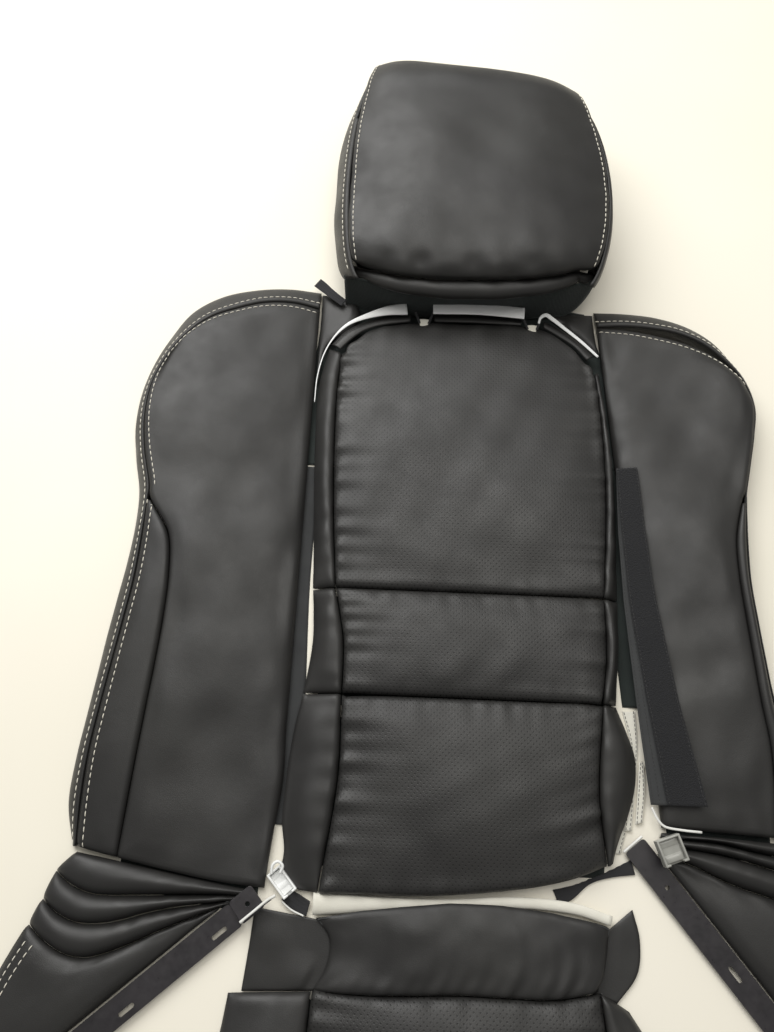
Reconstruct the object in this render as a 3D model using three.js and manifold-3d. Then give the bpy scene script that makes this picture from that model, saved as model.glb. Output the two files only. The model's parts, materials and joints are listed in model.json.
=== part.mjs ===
// Leather seat cover set, unstuffed and laid flat: a front seat's backrest cover, headrest cover
// and cushion cover. Millimetres, +Z up from the surface it lies on, +Y towards the headrest.
// Seam outlines are written in lay coordinates, with X = 0 on the backrest's midline and Y = 0
// near its waist. The last lines move the whole set so that its footprint is centred on the origin.

import * as THREE from 'three';
import Module from 'manifold-3d';
import { mergeVertices } from 'three/addons/utils/BufferGeometryUtils.js';

const wasm = await Module();
wasm.setup();

// ---------------------------------------------------------------- driving dimensions

const SEAM_GAP = 0.6;              // each panel stops this far short of its seam line
const HINGE_LEFT_X = -152;         // straight inner seam that the left wing folds about
const HINGE_RIGHT_TOP = [126.4, 492];
const HINGE_RIGHT_FOOT = [161.5, -2];
const WING_EDGE_Z = 9;             // height of the wings' inner edges
const WAIST_UPPER_Y = 190;         // seam between the upper and middle insert panels
const WAIST_LOWER_Y = 97;          // seam between the middle and lower insert panels
const INSERT_SEAM_Z = 20;
const LINING_TOP = 3;              // flat cloth lies between the floor and this height
const RAISED = 3.6;                // underside of anything that lies on the flat cloth

const HEADREST_HALF_WIDTH = 133;
const HEADREST_HEIGHT = 98;
const HEADREST_FOOT_Y = 471;
const HEADREST_CENTRE_X = -2;
const COVER_THICKNESS = 3.2;       // leather with its foam backing

const STRIP_WIDTH = 20;            // slotted plastic fastening strips
const STRIP_THICKNESS = 2;
const SLOT_LENGTH = 14;
const SLOT_WIDTH = 3.4;
const RIVET_RADIUS = 2;
const LEFT_STRIP_TURN = -139.6;    // degrees from +X that each strip runs
const RIGHT_STRIP_TURN = -51.1;
const LISTING_ROD = 11;            // width of the white listing sleeves with their rods
const TAPE_WIDTH = 25;             // hook-and-loop tape

const TIP_X = 385;                 // how far the side skirts reach each way
const SET_FRONT_Y = -527;          // front hem of the cushion cover's apron

// ---------------------------------------------------------------- finishes

const FINISHES = {
  leather: [0x2b2a2b, 0.42, 0],
  perforated: [0x262627, 0.48, 0],
  lining: [0x1f2625, 0.8, 0],
  ribbon: [0x17171a, 0.7, 0],
  looptape: [0x202226, 0.95, 0],
  backing: [0x4b4f52, 0.75, 0],
  listing: [0xd9d6c8, 0.6, 0],
  clip: [0xdcdcda, 0.3, 0],
  strip: [0x2a272b, 0.38, 0],
};

function finish(slot) {
  const [color, roughness, metalness] = FINISHES[slot];
  return new THREE.MeshStandardMaterial({ color, roughness, metalness });
}

function addPiece(group, name, slot, geometry) {
  const mesh = new THREE.Mesh(geometry, finish(slot));
  mesh.name = name;
  group.add(mesh);
  return mesh;
}

// ---------------------------------------------------------------- seams and sheets

// A seam is a smooth line through a few points, cut into equal steps.
function seam(points, steps) {
  const line = new THREE.CatmullRomCurve3(
    points.map((point) => new THREE.Vector3(...point)), false, 'centripetal');
  return line.getSpacedPoints(steps);
}

function joined(first, second) {
  return first.concat(second.slice(1));
}

function reversed(line) {
  return line.slice().reverse();
}

// Grid of points across four edges: front and back run the same way, and so do left and right.
function edgePatch(front, back, left, right) {
  const columns = front.length - 1;
  const rows = left.length - 1;
  const grid = [];
  for (let j = 0; j <= rows; j += 1) {
    const t = j / rows;
    const row = [];
    for (let i = 0; i <= columns; i += 1) {
      const s = i / columns;
      const point = new THREE.Vector3()
        .addScaledVector(front[i], 1 - t)
        .addScaledVector(back[i], t)
        .addScaledVector(left[j], 1 - s)
        .addScaledVector(right[j], s)
        .addScaledVector(front[0], -(1 - s) * (1 - t))
        .addScaledVector(front[columns], -s * (1 - t))
        .addScaledVector(back[0], -(1 - s) * t)
        .addScaledVector(back[columns], -s * t);
      row.push(point);
    }
    grid.push(row);
  }
  return grid;
}

function pullIn(grid, gap) {
  const rows = grid.length - 1;
  const columns = grid[0].length - 1;
  const inner = (value, last) => Math.min(Math.max(value, 1), last - 1);
  return grid.map((row, j) => row.map((point, i) => {
    const onEdge = i === 0 || j === 0 || i === columns || j === rows;
    if (!onEdge) return point.clone();
    const target = grid[inner(j, rows)][inner(i, columns)];
    const corner = (i === 0 || i === columns) && (j === 0 || j === rows);
    const step = gap * (corner ? 1.5 : 1) / point.distanceTo(target);
    return point.clone().lerp(target, Math.min(step, 0.45));
  }));
}

function raiseCrown(grid, crown) {
  const rows = grid.length - 1;
  const columns = grid[0].length - 1;
  grid.forEach((row, j) => row.forEach((point, i) => {
    const across = Math.sin(Math.PI * i / columns);
    const along = Math.sin(Math.PI * j / rows);
    point.z += crown * Math.pow(Math.max(across * along, 0), 0.6);
  }));
  return grid;
}

// Closed body between an upper and a lower grid of the same size.
function bodyBetween(upper, lower) {
  const rows = upper.length;
  const columns = upper[0].length;
  const count = rows * columns;
  const positions = [];
  [upper, lower].forEach((grid) => grid.forEach((row) => row.forEach((p) => {
    positions.push(p.x, p.y, p.z);
  })));
  const faces = [];
  const at = (j, i) => j * columns + i;
  for (let j = 0; j < rows - 1; j += 1) {
    for (let i = 0; i < columns - 1; i += 1) {
      const [a, b, c, d] = [at(j, i), at(j, i + 1), at(j + 1, i + 1), at(j + 1, i)];
      faces.push(a, b, c, a, c, d);
      faces.push(count + a, count + c, count + b, count + a, count + d, count + c);
    }
  }
  const rim = [];
  for (let i = 0; i < columns - 1; i += 1) rim.push(at(0, i));
  for (let j = 0; j < rows - 1; j += 1) rim.push(at(j, columns - 1));
  for (let i = columns - 1; i > 0; i -= 1) rim.push(at(rows - 1, i));
  for (let j = rows - 1; j > 0; j -= 1) rim.push(at(j, 0));
  rim.forEach((a, k) => {
    const b = rim[(k + 1) % rim.length];
    faces.push(a, count + a, count + b, a, count + b, b);
  });
  const geometry = new THREE.BufferGeometry();
  geometry.setAttribute('position', new THREE.Float32BufferAttribute(positions, 3));
  geometry.setIndex(signedVolume(positions, faces) < 0 ? faces.reverse() : faces);
  geometry.computeVertexNormals();
  return geometry;
}

function signedVolume(positions, faces) {
  const corner = (k) => new THREE.Vector3().fromArray(positions, 3 * faces[k]);
  let volume = 0;
  for (let k = 0; k < faces.length; k += 3) {
    volume += corner(k).dot(corner(k + 1).cross(corner(k + 2))) / 6;
  }
  return volume;
}

// A soft panel: crowned on top, and flat underneath where it rests.
function panel(front, back, left, right, { crown = 0, bottom = 0, gap = SEAM_GAP } = {}) {
  const top = raiseCrown(pullIn(edgePatch(front, back, left, right), gap), crown);
  const under = top.map((row) => row.map((p) => new THREE.Vector3(p.x, p.y, bottom)));
  return bodyBetween(top, under);
}

// A thin sheet that keeps one thickness under its top face.
function sheet(front, back, left, right, { crown = 0, thick = 2, gap = SEAM_GAP } = {}) {
  const top = raiseCrown(pullIn(edgePatch(front, back, left, right), gap), crown);
  const under = top.map((row) => row.map((p) => new THREE.Vector3(p.x, p.y, p.z - thick)));
  return bodyBetween(top, under);
}

// A shell from a surface function of two numbers from 0 to 1, thickened inwards.
function shell(surface, columns, rows, thick) {
  const outer = [];
  const inner = [];
  const step = 1e-3;
  for (let j = 0; j <= rows; j += 1) {
    outer.push([]);
    inner.push([]);
    for (let i = 0; i <= columns; i += 1) {
      const s = i / columns;
      const t = j / rows;
      const point = surface(s, t);
      const ds = surface(Math.min(s + step, 1), t).sub(surface(Math.max(s - step, 0), t));
      const dt = surface(s, Math.min(t + step, 1)).sub(surface(s, Math.max(t - step, 0)));
      const normal = ds.cross(dt).normalize();
      outer[j].push(point);
      inner[j].push(point.clone().addScaledVector(normal, -thick));
    }
  }
  return bodyBetween(outer, inner);
}

// A sleeve or ribbon of oval section that follows a line.
function tube(points, width, height, steps) {
  const line = new THREE.CatmullRomCurve3(
    points.map((point) => new THREE.Vector3(...point)), false, 'centripetal');
  const section = new THREE.Shape();
  section.absellipse(0, 0, height / 2, width / 2, 0, Math.PI * 2);
  return closed(new THREE.ExtrudeGeometry(section, {
    extrudePath: line, steps, curveSegments: 5, bevelEnabled: false,
  }));
}

function closed(geometry) {
  const bare = geometry.clone();
  bare.deleteAttribute('normal');
  bare.deleteAttribute('uv');
  return mergeVertices(bare, 1e-3);
}

function asSolid(geometry) {
  const bare = closed(geometry);
  return new wasm.Manifold(new wasm.Mesh({
    numProp: 3,
    vertProperties: Float32Array.from(bare.attributes.position.array),
    triVerts: Uint32Array.from(bare.index.array),
  }));
}

function asGeometry(solid) {
  const mesh = solid.getMesh();
  const geometry = new THREE.BufferGeometry();
  geometry.setAttribute('position', new THREE.Float32BufferAttribute(mesh.vertProperties, 3));
  geometry.setIndex(Array.from(mesh.triVerts));
  return geometry;
}

// Flat band between two lines of points, from height low to height high.
function flatBand(lineA, lineB, low, high) {
  const upper = [lineA, lineB].map((line) => line.map(([x, y]) => new THREE.Vector3(x, y, high)));
  const lower = [lineA, lineB].map((line) => line.map(([x, y]) => new THREE.Vector3(x, y, low)));
  return bodyBetween(upper, lower);
}

// ---------------------------------------------------------------- seam lines, left wing

const LEFT = {
  hinge: seam([
    [-160, -59, WING_EDGE_Z], [-160.5, -34, WING_EDGE_Z], [HINGE_LEFT_X - 0.6, -2, WING_EDGE_Z],
    [HINGE_LEFT_X - 0.4, 60, WING_EDGE_Z], [HINGE_LEFT_X - 0.4, 300, WING_EDGE_Z],
    [HINGE_LEFT_X - 0.4, 484, 11],
  ], 24),
  crease: seam([
    [-280, -41, 14], [-273, 51, 22], [-267, 128, 26], [-265, 182, 28],
    [-269, 224, 28], [-278, 247, 27], [-292, 264, 25],
  ], 8),
  lowerWelt: seam([
    [-315, -34, 13], [-316, 25, 17], [-311, 77, 20], [-304, 133, 22], [-297, 196, 23], [-295.6, 264, 24],
  ], 8),
  sideWelt: seam([[-296, 281, 25], [-308, 333, 26], [-308, 381, 26], [-294, 420, 26]], 4),
  topWelt: seam([
    [HINGE_LEFT_X - 0.4, 484, 11], [-192, 488, 16], [-231, 477, 20], [-269, 455, 24], [-294, 420, 26],
  ], 6),
  outline: seam([
    [-320, -34, 4], [-328, -10, 4], [-330, 15, 4], [-323, 101, 4], [-318, 154, 4], [-311, 215, 4],
    [-310, 280, 4], [-321, 321, 4], [-324, 358, 4], [-319, 403, 4], [-304, 442, 4], [-283, 479, 4],
    [-258, 497, 4], [-226, 507, 4], [-191, 511, 4], [HINGE_LEFT_X - 0.4, 507, 4],
  ], 20),
};
const LEFT_FOOT = {
  face: seam([[-160, -59, WING_EDGE_Z], [-203, -54.5, 11], [-280, -41, 14]], 6),
  strip: seam([[-280, -41, 14], [-315, -34, 13]], 2),
};

// ---------------------------------------------------------------- seam lines, right wing

const hingeRightX = (y) => THREE.MathUtils.mapLinear(
  y, HINGE_RIGHT_FOOT[1], HINGE_RIGHT_TOP[1], HINGE_RIGHT_FOOT[0], HINGE_RIGHT_TOP[0]);
const RIGHT_INNER_X = 0.4;         // the wing's edge lies this far outside its fold line

const RIGHT = {
  hinge: seam([
    [hingeRightX(0) + RIGHT_INNER_X, 0, WING_EDGE_Z],
    [hingeRightX(474) + RIGHT_INNER_X, 474, 11],
  ], 12),
  crease: seam([
    [252, -4, 14], [254, 57, 20], [248, 106, 24], [244, 157, 25], [240, 211, 26],
    [241, 249, 26], [250, 284, 25],
  ], 8),
  lowerWelt: seam([
    [278, -4, 12], [274, 40, 14], [262, 100, 17], [255, 160, 20], [250.5, 215, 22], [253.5, 284, 24],
  ], 8),
  sideWelt: seam([[255, 296, 25], [265, 340, 26], [271, 383, 26], [263, 412, 26]], 4),
  topWelt: seam([
    [hingeRightX(474) + RIGHT_INNER_X, 474, 11], [167, 473, 16], [216, 461, 21], [243, 440, 24],
    [263, 412, 26],
  ], 6),
  outline: seam([
    [286, -4, 4], [282, 40, 4], [268, 100, 4], [260, 145, 4], [257, 197, 4], [257, 262, 4],
    [261, 314, 4], [274, 356, 4], [279, 386, 4], [274, 413, 4], [259, 446, 4], [238, 472, 4],
    [209, 487, 4], [174, 494.5, 4], [hingeRightX(495) + RIGHT_INNER_X, 495, 4],
  ], 20),
};
const RIGHT_FOOT = {
  face: seam([[hingeRightX(0) + RIGHT_INNER_X, 0, WING_EDGE_Z], [207, -1.5, 12], [252, -4, 14]], 5),
  strip: seam([[252, -4, 14], [278, -4, 12]], 2),
};

// A wing is the bolster's face, the side strip under its crease and the narrow back band.
function addWing(group, side, lines, foot) {
  const faceEdge = lines.crease.concat(lines.sideWelt);
  const innerEdge = resampled(lines.hinge, faceEdge.length - 1);
  addPiece(group, `bolster_face_${side}`, 'leather',
    panel(foot.face, lines.topWelt, innerEdge, faceEdge, { crown: 6 }));
  const tip = seam([lines.crease.at(-1).toArray(), lines.lowerWelt.at(-1).toArray()], 2);
  addPiece(group, `side_strip_${side}`, 'leather',
    panel(foot.strip, tip, lines.crease, lines.lowerWelt, { crown: 3, gap: 0.8 }));
  const bandInner = lines.lowerWelt.concat(joined(lines.sideWelt, reversed(lines.topWelt)));
  const bandOuter = resampled(lines.outline, bandInner.length - 1);
  const bandFoot = seam([bandInner[0].toArray(), bandOuter[0].toArray()], 2);
  const bandTop = seam([bandInner.at(-1).toArray(), bandOuter.at(-1).toArray()], 2);
  addPiece(group, `back_band_${side}`, 'leather',
    panel(bandFoot, bandTop, bandInner, bandOuter, { crown: 1.5 }));
}

// The same line in another number of equal steps.
function resampled(line, steps) {
  return new THREE.CatmullRomCurve3(line, false, 'centripetal').getSpacedPoints(steps);
}

// ---------------------------------------------------------------- skirts with their pleats

// Seam lines of the three pleats, from the side edge to the inner end, and the skirt's corners.
const LEFT_PLEATS = [
  [[-315, -37, 12], [-280, -42.5, 13], [-222, -52, 11], [-168, -60.5, 9]],
  [[-330, -52, 10], [-313, -63, 11], [-296, -68, 11], [-251, -67, 10], [-206, -65, 9],
    [-176, -64.5, 8]],
  [[-337, -73, 10], [-319, -85, 11], [-303, -89.5, 11], [-280, -88, 10], [-242, -77.5, 9],
    [-184, -68.5, 8]],
  [[-345, -92, 9], [-327, -105, 10], [-304, -114, 10], [-280, -110, 9], [-232, -89, 9],
    [-193, -73, 8]],
];
const LEFT_SKIRT = {
  outer: [[-345, -92, 9], [-359, -118, 6], [-372, -150, 5], [-TIP_X, -190, 5]],
  inner: [[-193, -73, 8], [-345, -203, 6]],
};
const RIGHT_PLEATS = [
  [[278, -7.5, 11], [252, -7, 13], [207, -4.5, 12], [161, -3, 9]],
  [[284, -22, 10], [262, -19, 11], [236, -15, 11], [204, -9, 10], [159.5, -7.5, 8]],
  [[292, -40, 10], [270, -33, 11], [246, -27, 11], [210, -18.5, 10], [158, -12.5, 8]],
  [[302, -62, 9], [274, -56, 10], [246, -49, 10], [212, -39, 9], [184, -27, 9], [157, -19, 8]],
];
const RIGHT_SKIRT = {
  outer: [[302, -62, 9], [322, -94, 6], [350, -136, 5], [TIP_X, -190, 5]],
  inner: [[157, -19, 8], [289, -182.5, 6]],
};

function addSkirt(group, side, pleats, skirt) {
  const seams = pleats.map((points) => seam(points, 9));
  for (let k = 0; k < 3; k += 1) {
    const outerEnd = seam([seams[k][0].toArray(), seams[k + 1][0].toArray()], 2);
    const innerEnd = seam([seams[k].at(-1).toArray(), seams[k + 1].at(-1).toArray()], 2);
    addPiece(group, `pleat_${k + 1}_${side}`, 'leather',
      panel(seams[k], seams[k + 1], outerEnd, innerEnd, { crown: 5 }));
  }
  const outer = seam(skirt.outer, 6);
  const inner = seam(skirt.inner, 6);
  const tip = seam([outer.at(-1).toArray(), inner.at(-1).toArray()], 9);
  addPiece(group, `skirt_${side}`, 'leather', panel(seams[3], tip, outer, inner, { crown: 7 }));
}

// ---------------------------------------------------------------- slotted fastening strips

// Flat strip with slots and rivet holes. Its own X runs along it from its upper end.
function slottedStrip(length, slots, rivets, aside) {
  const shape = new THREE.Shape();
  const corner = 3;
  const half = STRIP_WIDTH / 2;
  shape.moveTo(corner, -half);
  shape.lineTo(length - corner, -half);
  shape.quadraticCurveTo(length, -half, length, -half + corner);
  shape.lineTo(length, half - corner);
  shape.quadraticCurveTo(length, half, length - corner, half);
  shape.lineTo(corner, half);
  shape.quadraticCurveTo(0, half, 0, half - corner);
  shape.lineTo(0, -half + corner);
  shape.quadraticCurveTo(0, -half, corner, -half);
  slots.forEach((along) => {
    const hole = new THREE.Path();
    const reach = (SLOT_LENGTH - SLOT_WIDTH) / 2;
    hole.absarc(along + reach, aside, SLOT_WIDTH / 2, -Math.PI / 2, Math.PI / 2, false);
    hole.absarc(along - reach, aside, SLOT_WIDTH / 2, Math.PI / 2, Math.PI * 1.5, false);
    shape.holes.push(hole);
  });
  rivets.forEach((along) => {
    const hole = new THREE.Path();
    hole.absarc(along, 0, RIVET_RADIUS, 0, Math.PI * 2, false);
    shape.holes.push(hole);
  });
  return closed(new THREE.ExtrudeGeometry(shape, {
    depth: STRIP_THICKNESS, bevelEnabled: false, curveSegments: 4,
  }));
}

function addStrip(group, name, place, { slots = [], rivets = [], aside = 0 } = {}) {
  const mesh = addPiece(group, name, 'strip', slottedStrip(place.length, slots, rivets, aside));
  mesh.position.set(...place.start);
  mesh.rotation.z = THREE.MathUtils.degToRad(place.turn);
}

// ---------------------------------------------------------------- plastic clips

// A J-shaped clip, cut from one block: a tray with a raised rim and an open hook end.
function clipBody(length, width, height) {
  const wall = 1.8;
  const outer = asSolid(new THREE.BoxGeometry(length, width, height));
  const pocket = asSolid(new THREE.BoxGeometry(length - 2 * wall, width - 2 * wall, height)
    .translate(0, 0, wall));
  const mouth = asSolid(new THREE.BoxGeometry(3 * wall, width - 5 * wall, height)
    .translate(length / 2, 0, wall));
  return asGeometry(outer.subtract(pocket).subtract(mouth));
}

// ---------------------------------------------------------------- backrest cover

const backrest = new THREE.Group();
const wingLeft = new THREE.Group();
const wingRight = new THREE.Group();
backrest.add(wingLeft, wingRight);
addWing(wingLeft, 'left', LEFT, LEFT_FOOT);
addWing(wingRight, 'right', RIGHT, RIGHT_FOOT);
addSkirt(wingLeft, 'left', LEFT_PLEATS, LEFT_SKIRT);
addSkirt(wingRight, 'right', RIGHT_PLEATS, RIGHT_SKIRT);

// The lining panel behind the shoulders, which the headrest and the insert lie on.
const YOKE_TOP_LEFT = [-149, 505];
const YOKE_TOP_RIGHT = [121, 497];
addPiece(backrest, 'rear_yoke', 'lining', flatBand(
  [[-150.5, 334], [-60, 330], [40, 330], [hingeRightX(334) - 1.5, 334]],
  [YOKE_TOP_LEFT, [-60, 508], [40, 507], YOKE_TOP_RIGHT], 0, LINING_TOP));

// Leather corners of the shoulders, inside the wings' fold lines.
addPiece(backrest, 'shoulder_tab_left', 'leather', panel(
  seam([[HINGE_LEFT_X + 0.4, 400, 9], [-148.8, 403, 9]], 4),
  seam([[HINGE_LEFT_X + 0.4, 503, 8], [-126, 499, 9], [-112, 487, 12]], 4),
  seam([[HINGE_LEFT_X + 0.4, 400, 9], [HINGE_LEFT_X + 0.4, 503, 8]], 6),
  seam([[-148.8, 403, 9], [-142, 443, 11], [-129, 452, 14], [-113, 466, 15], [-112, 487, 12]], 6),
  { crown: 1, bottom: RAISED }));
addPiece(backrest, 'shoulder_tab_right', 'leather', panel(
  seam([[84, 482, 8], [hingeRightX(444) - 1, 444, 9]], 3),
  seam([[84, 490, 6], [hingeRightX(490) - 1, 490, 6]], 3),
  seam([[84, 482, 8], [84, 490, 6]], 2),
  seam([[hingeRightX(444) - 1, 444, 9], [hingeRightX(490) - 1, 490, 6]], 2),
  { crown: 1.5, bottom: RAISED }));

// Insert: three foam-backed panels with a gusset down each side.
const INSERT = {
  top: seam([
    [-127, 432, 17], [-104, 455, 18], [-66, 466, 19], [0, 467, 20], [70, 465, 19],
    [102, 444, 18], [123, 418, 17],
  ], 8),
  upper: seam([[-118, WAIST_UPPER_Y, INSERT_SEAM_Z], [0, WAIST_UPPER_Y, INSERT_SEAM_Z],
    [121, WAIST_UPPER_Y, INSERT_SEAM_Z]], 8),
  lower: seam([[-107, WAIST_LOWER_Y, INSERT_SEAM_Z], [0, WAIST_LOWER_Y, INSERT_SEAM_Z],
    [116, WAIST_LOWER_Y, INSERT_SEAM_Z]], 8),
  foot: seam([[-117, -60, 14], [-20, -58, 16], [75, -45, 15], [116, -31, 13]], 8),
  upperLeft: seam([[-118, WAIST_UPPER_Y, INSERT_SEAM_Z], [-125, 271, 20], [-129, 374, 19],
    [-127, 432, 17]], 8),
  upperRight: seam([[121, WAIST_UPPER_Y, INSERT_SEAM_Z], [127, 281, 20], [127, 353, 19],
    [123, 418, 17]], 8),
  middleLeft: seam([[-107, WAIST_LOWER_Y, INSERT_SEAM_Z], [-108, 142, 20],
    [-118, WAIST_UPPER_Y, INSERT_SEAM_Z]], 4),
  middleRight: seam([[116, WAIST_LOWER_Y, INSERT_SEAM_Z], [121, 142, 20],
    [121, WAIST_UPPER_Y, INSERT_SEAM_Z]], 4),
  lowerLeft: seam([[-117, -60, 14], [-106, 30, 18], [-107, WAIST_LOWER_Y, INSERT_SEAM_Z]], 6),
  lowerRight: seam([[116, -31, 13], [110, 20, 18], [116, WAIST_LOWER_Y, INSERT_SEAM_Z]], 6),
};
addPiece(backrest, 'insert_upper', 'perforated', panel(
  INSERT.upper, INSERT.top, INSERT.upperLeft, INSERT.upperRight, { crown: 6, bottom: RAISED }));
addPiece(backrest, 'insert_middle', 'perforated', panel(
  INSERT.lower, INSERT.upper, INSERT.middleLeft, INSERT.middleRight, { crown: 6 }));
addPiece(backrest, 'insert_lower', 'perforated', panel(
  INSERT.foot, INSERT.lower, INSERT.lowerLeft, INSERT.lowerRight, { crown: 7 }));

// Gusset outer edges, close to the floor, from the foot of each panel to its top.
const GUSSETS = {
  upper_left: [INSERT.upperLeft, [
    [-139, WAIST_UPPER_Y, 6], [-147.5, 330, 6], [-148, 400, 6], [-140, 440, 7]]],
  upper_right: [INSERT.upperRight, [
    [135, WAIST_UPPER_Y, 6], [138, 300, 6], [134, 370, 6], [128, 424, 7]]],
  middle_left: [INSERT.middleLeft, [
    [-141, WAIST_LOWER_Y, 6], [-136, 142, 7], [-139, WAIST_UPPER_Y, 6]]],
  middle_right: [INSERT.middleRight, [
    [129, WAIST_LOWER_Y, 6], [134, 145, 7], [135, WAIST_UPPER_Y, 6]]],
  lower_left: [INSERT.lowerLeft, [
    [-122, -59, 6], [-141, -38, 5], [-149.5, -15, 5], [-150, 20, 5], [-147, 62, 6],
    [-141, WAIST_LOWER_Y, 6]]],
  lower_right: [INSERT.lowerRight, [
    [120, -29, 6], [127, -10, 5], [139, 20, 5], [144, 49, 5], [137, 77, 6], [129, WAIST_LOWER_Y, 6]]],
};
Object.entries(GUSSETS).forEach(([place, [inner, outerPoints]]) => {
  const outer = seam(outerPoints, inner.length - 1);
  const foot = seam([inner[0].toArray(), outer[0].toArray()], 2);
  const head = seam([inner.at(-1).toArray(), outer.at(-1).toArray()], 2);
  addPiece(backrest, `gusset_${place}`, 'leather',
    panel(foot, head, inner, outer, { crown: 5, bottom: RAISED }));
});

// White listing sleeves with their rods along the insert's top edge, and the tabs between them.
addPiece(backrest, 'neck_listing', 'listing', tube([[-39, 477, 25], [6, 478.5, 26], [52, 475, 25]],
  LISTING_ROD, 5, 6));
addPiece(backrest, 'listing_left', 'listing', tube(
  [[-120, 456, 23], [-104, 466, 24], [-86, 471.5, 25], [-63, 474, 25]], 8, 4, 5));
addPiece(backrest, 'listing_right', 'listing', tube(
  [[72, 474, 25], [97, 457, 24], [127, 431, 22]], 5, 4, 5));
[['notch_tab_left', -51, 456], ['notch_tab_right', 61.5, 460]].forEach(([name, x, y]) => {
  addPiece(backrest, name, 'listing', new THREE.BoxGeometry(9, 7, 2).translate(x, y + 13.5, 21));
});

// Narrow strap end that sticks out over the left shoulder.
addPiece(backrest, 'edge_strap', 'ribbon', flatBand(
  [[-150.5, 511], [-132, 491.5]], [[-143, 517], [-125.5, 498]], 12.2, 14));

// Pale cloth flap under the left gusset, sewn to the insert.
addPiece(backrest, 'tape_flap_left', 'backing', flatBand(
  [[-151, 92], [-151, 306]], [[-128, 92], [-128, 306]], 0.3, LINING_TOP - 0.3));

// Right wing's hook-and-loop tape on its stitched backing, lying over the wing's inner margin.
const TAPE_FOOT_Y = 18;
const TAPE_HEAD_Y = 308;
const tapeInner = (offset, z) => seam([
  [hingeRightX(TAPE_FOOT_Y) + offset, TAPE_FOOT_Y, z], [hingeRightX(TAPE_HEAD_Y) + offset, TAPE_HEAD_Y, z],
], 6);
function tapeSheet(from, to, zFrom, zTo, thick) {
  const inner = tapeInner(from, zFrom);
  const outer = tapeInner(to, zTo);
  const foot = seam([inner[0].toArray(), outer[0].toArray()], 2);
  const head = seam([inner.at(-1).toArray(), outer.at(-1).toArray()], 2);
  return sheet(foot, head, inner, outer, { thick, gap: 0.01 });
}
addPiece(wingRight, 'tape_backing_right', 'backing', tapeSheet(0, 35, 13.8, 23.4, 1.4));
addPiece(wingRight, 'loop_tape_right', 'looptape', tapeSheet(9, 9 + TAPE_WIDTH, 18.6, 25.4, 1.8));

// Cream listing sleeves that hang in the gap beside the lower right gusset.
addPiece(backrest, 'hanging_sleeve_long', 'listing', flatBand(
  [[146, 96], [139, 40], [118, -10]], [[152.5, 96], [148, 40], [125, -12]], 0.2, 2.4));

// Fastening strips along the skirts' inner edges, and the tab riveted over the left one's end.
addStrip(wingLeft, 'fastening_strip_left', { start: [-181, -78, 4], turn: LEFT_STRIP_TURN, length: 204 },
  { slots: [18, 104, 185], aside: 3.5 });
addStrip(wingLeft, 'strip_tab_left', { start: [-163.5, -63, 12.4], turn: LEFT_STRIP_TURN, length: 21.5 },
  { rivets: [10] });
addStrip(wingRight, 'fastening_strip_right',
  { start: [138.5, -14, 4], turn: RIGHT_STRIP_TURN, length: 226 }, { slots: [116, 200], rivets: [39] });

// Clips, with the elastic that ties the left one to the insert's corner.
const clipLeft = addPiece(backrest, 'clip_left', 'clip', clipBody(23, 13, 8));
clipLeft.position.set(-146, -53, 6.4);
clipLeft.rotation.z = THREE.MathUtils.degToRad(-48);
const clipRight = addPiece(wingRight, 'clip_right', 'clip', clipBody(21, 20, 9));
clipRight.position.set(164, -16, 19.5);
clipRight.rotation.z = THREE.MathUtils.degToRad(-70);
addPiece(backrest, 'elastic_left', 'ribbon', flatBand(
  [[-141, -67], [-128, -71], [-119, -68]], [[-135, -62], [-127, -65], [-121, -62.5]], 0.4, 2));
addPiece(backrest, 'pull_ribbon', 'ribbon', flatBand(
  [[77, -57], [92, -62], [110, -49], [129, -44]], [[79, -49], [90, -52], [109, -38], [129, -34]], 0.4, 2));

// ---------------------------------------------------------------- headrest cover

// Profile along the cover, from its lower lip over the face and round the top: [y, z].
const headrestProfile = new THREE.CatmullRomCurve3([
  [3, 52], [2, 62], [10, 77], [60, 90], [130, 96], [200, HEADREST_HEIGHT], [246, 94],
  [266, 80], [275, 50], [272, 10],
].map(([y, z]) => new THREE.Vector3(0, y, z)), false, 'centripetal');
const headrestWidth = new THREE.SplineCurve([
  [0, 119], [0.1, 129], [0.25, HEADREST_HALF_WIDTH], [0.45, 132], [0.6, 128], [0.75, 121],
  [1, 108],
].map(([t, half]) => new THREE.Vector2(t, half)));
const LIP_DROP = 7;                // the rolled lip hangs this far under the face's lower edge
const EDGE_DROP = 0.17;            // how far the face falls towards its side seams
const SIDE_BULGE = 5;
const SIDE_FOOT = 0.09;            // share of the profile where the side boxing starts
const SIDE_TOP = 0.74;             // and where it ends
const MOUTH_Y = 54;                // the mouth slants back from the lip to here at the floor
const TOP_SKEW = 9;                // the top lies askew: its right corner is this much lower

function headrestFace(s, t) {
  const spine = headrestProfile.getPointAt(t);
  const across = 2 * s - 1;
  const half = headrestWidth.getPoint(t).y;
  const drop = EDGE_DROP * Math.pow(Math.abs(across), 3.2);
  const corner = 6 * Math.pow(Math.abs(across), 4) * (spine.z > 20 ? 1 : spine.z / 20);
  const inward = THREE.MathUtils.smoothstep(spine.y, 120, 260)
    - THREE.MathUtils.smoothstep(60 - spine.y, 0, 60);
  const skew = TOP_SKEW * across * THREE.MathUtils.smoothstep(spine.y, 120, 260);
  return new THREE.Vector3(across * half, spine.y - corner * inward - skew, spine.z * (1 - drop));
}

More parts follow.
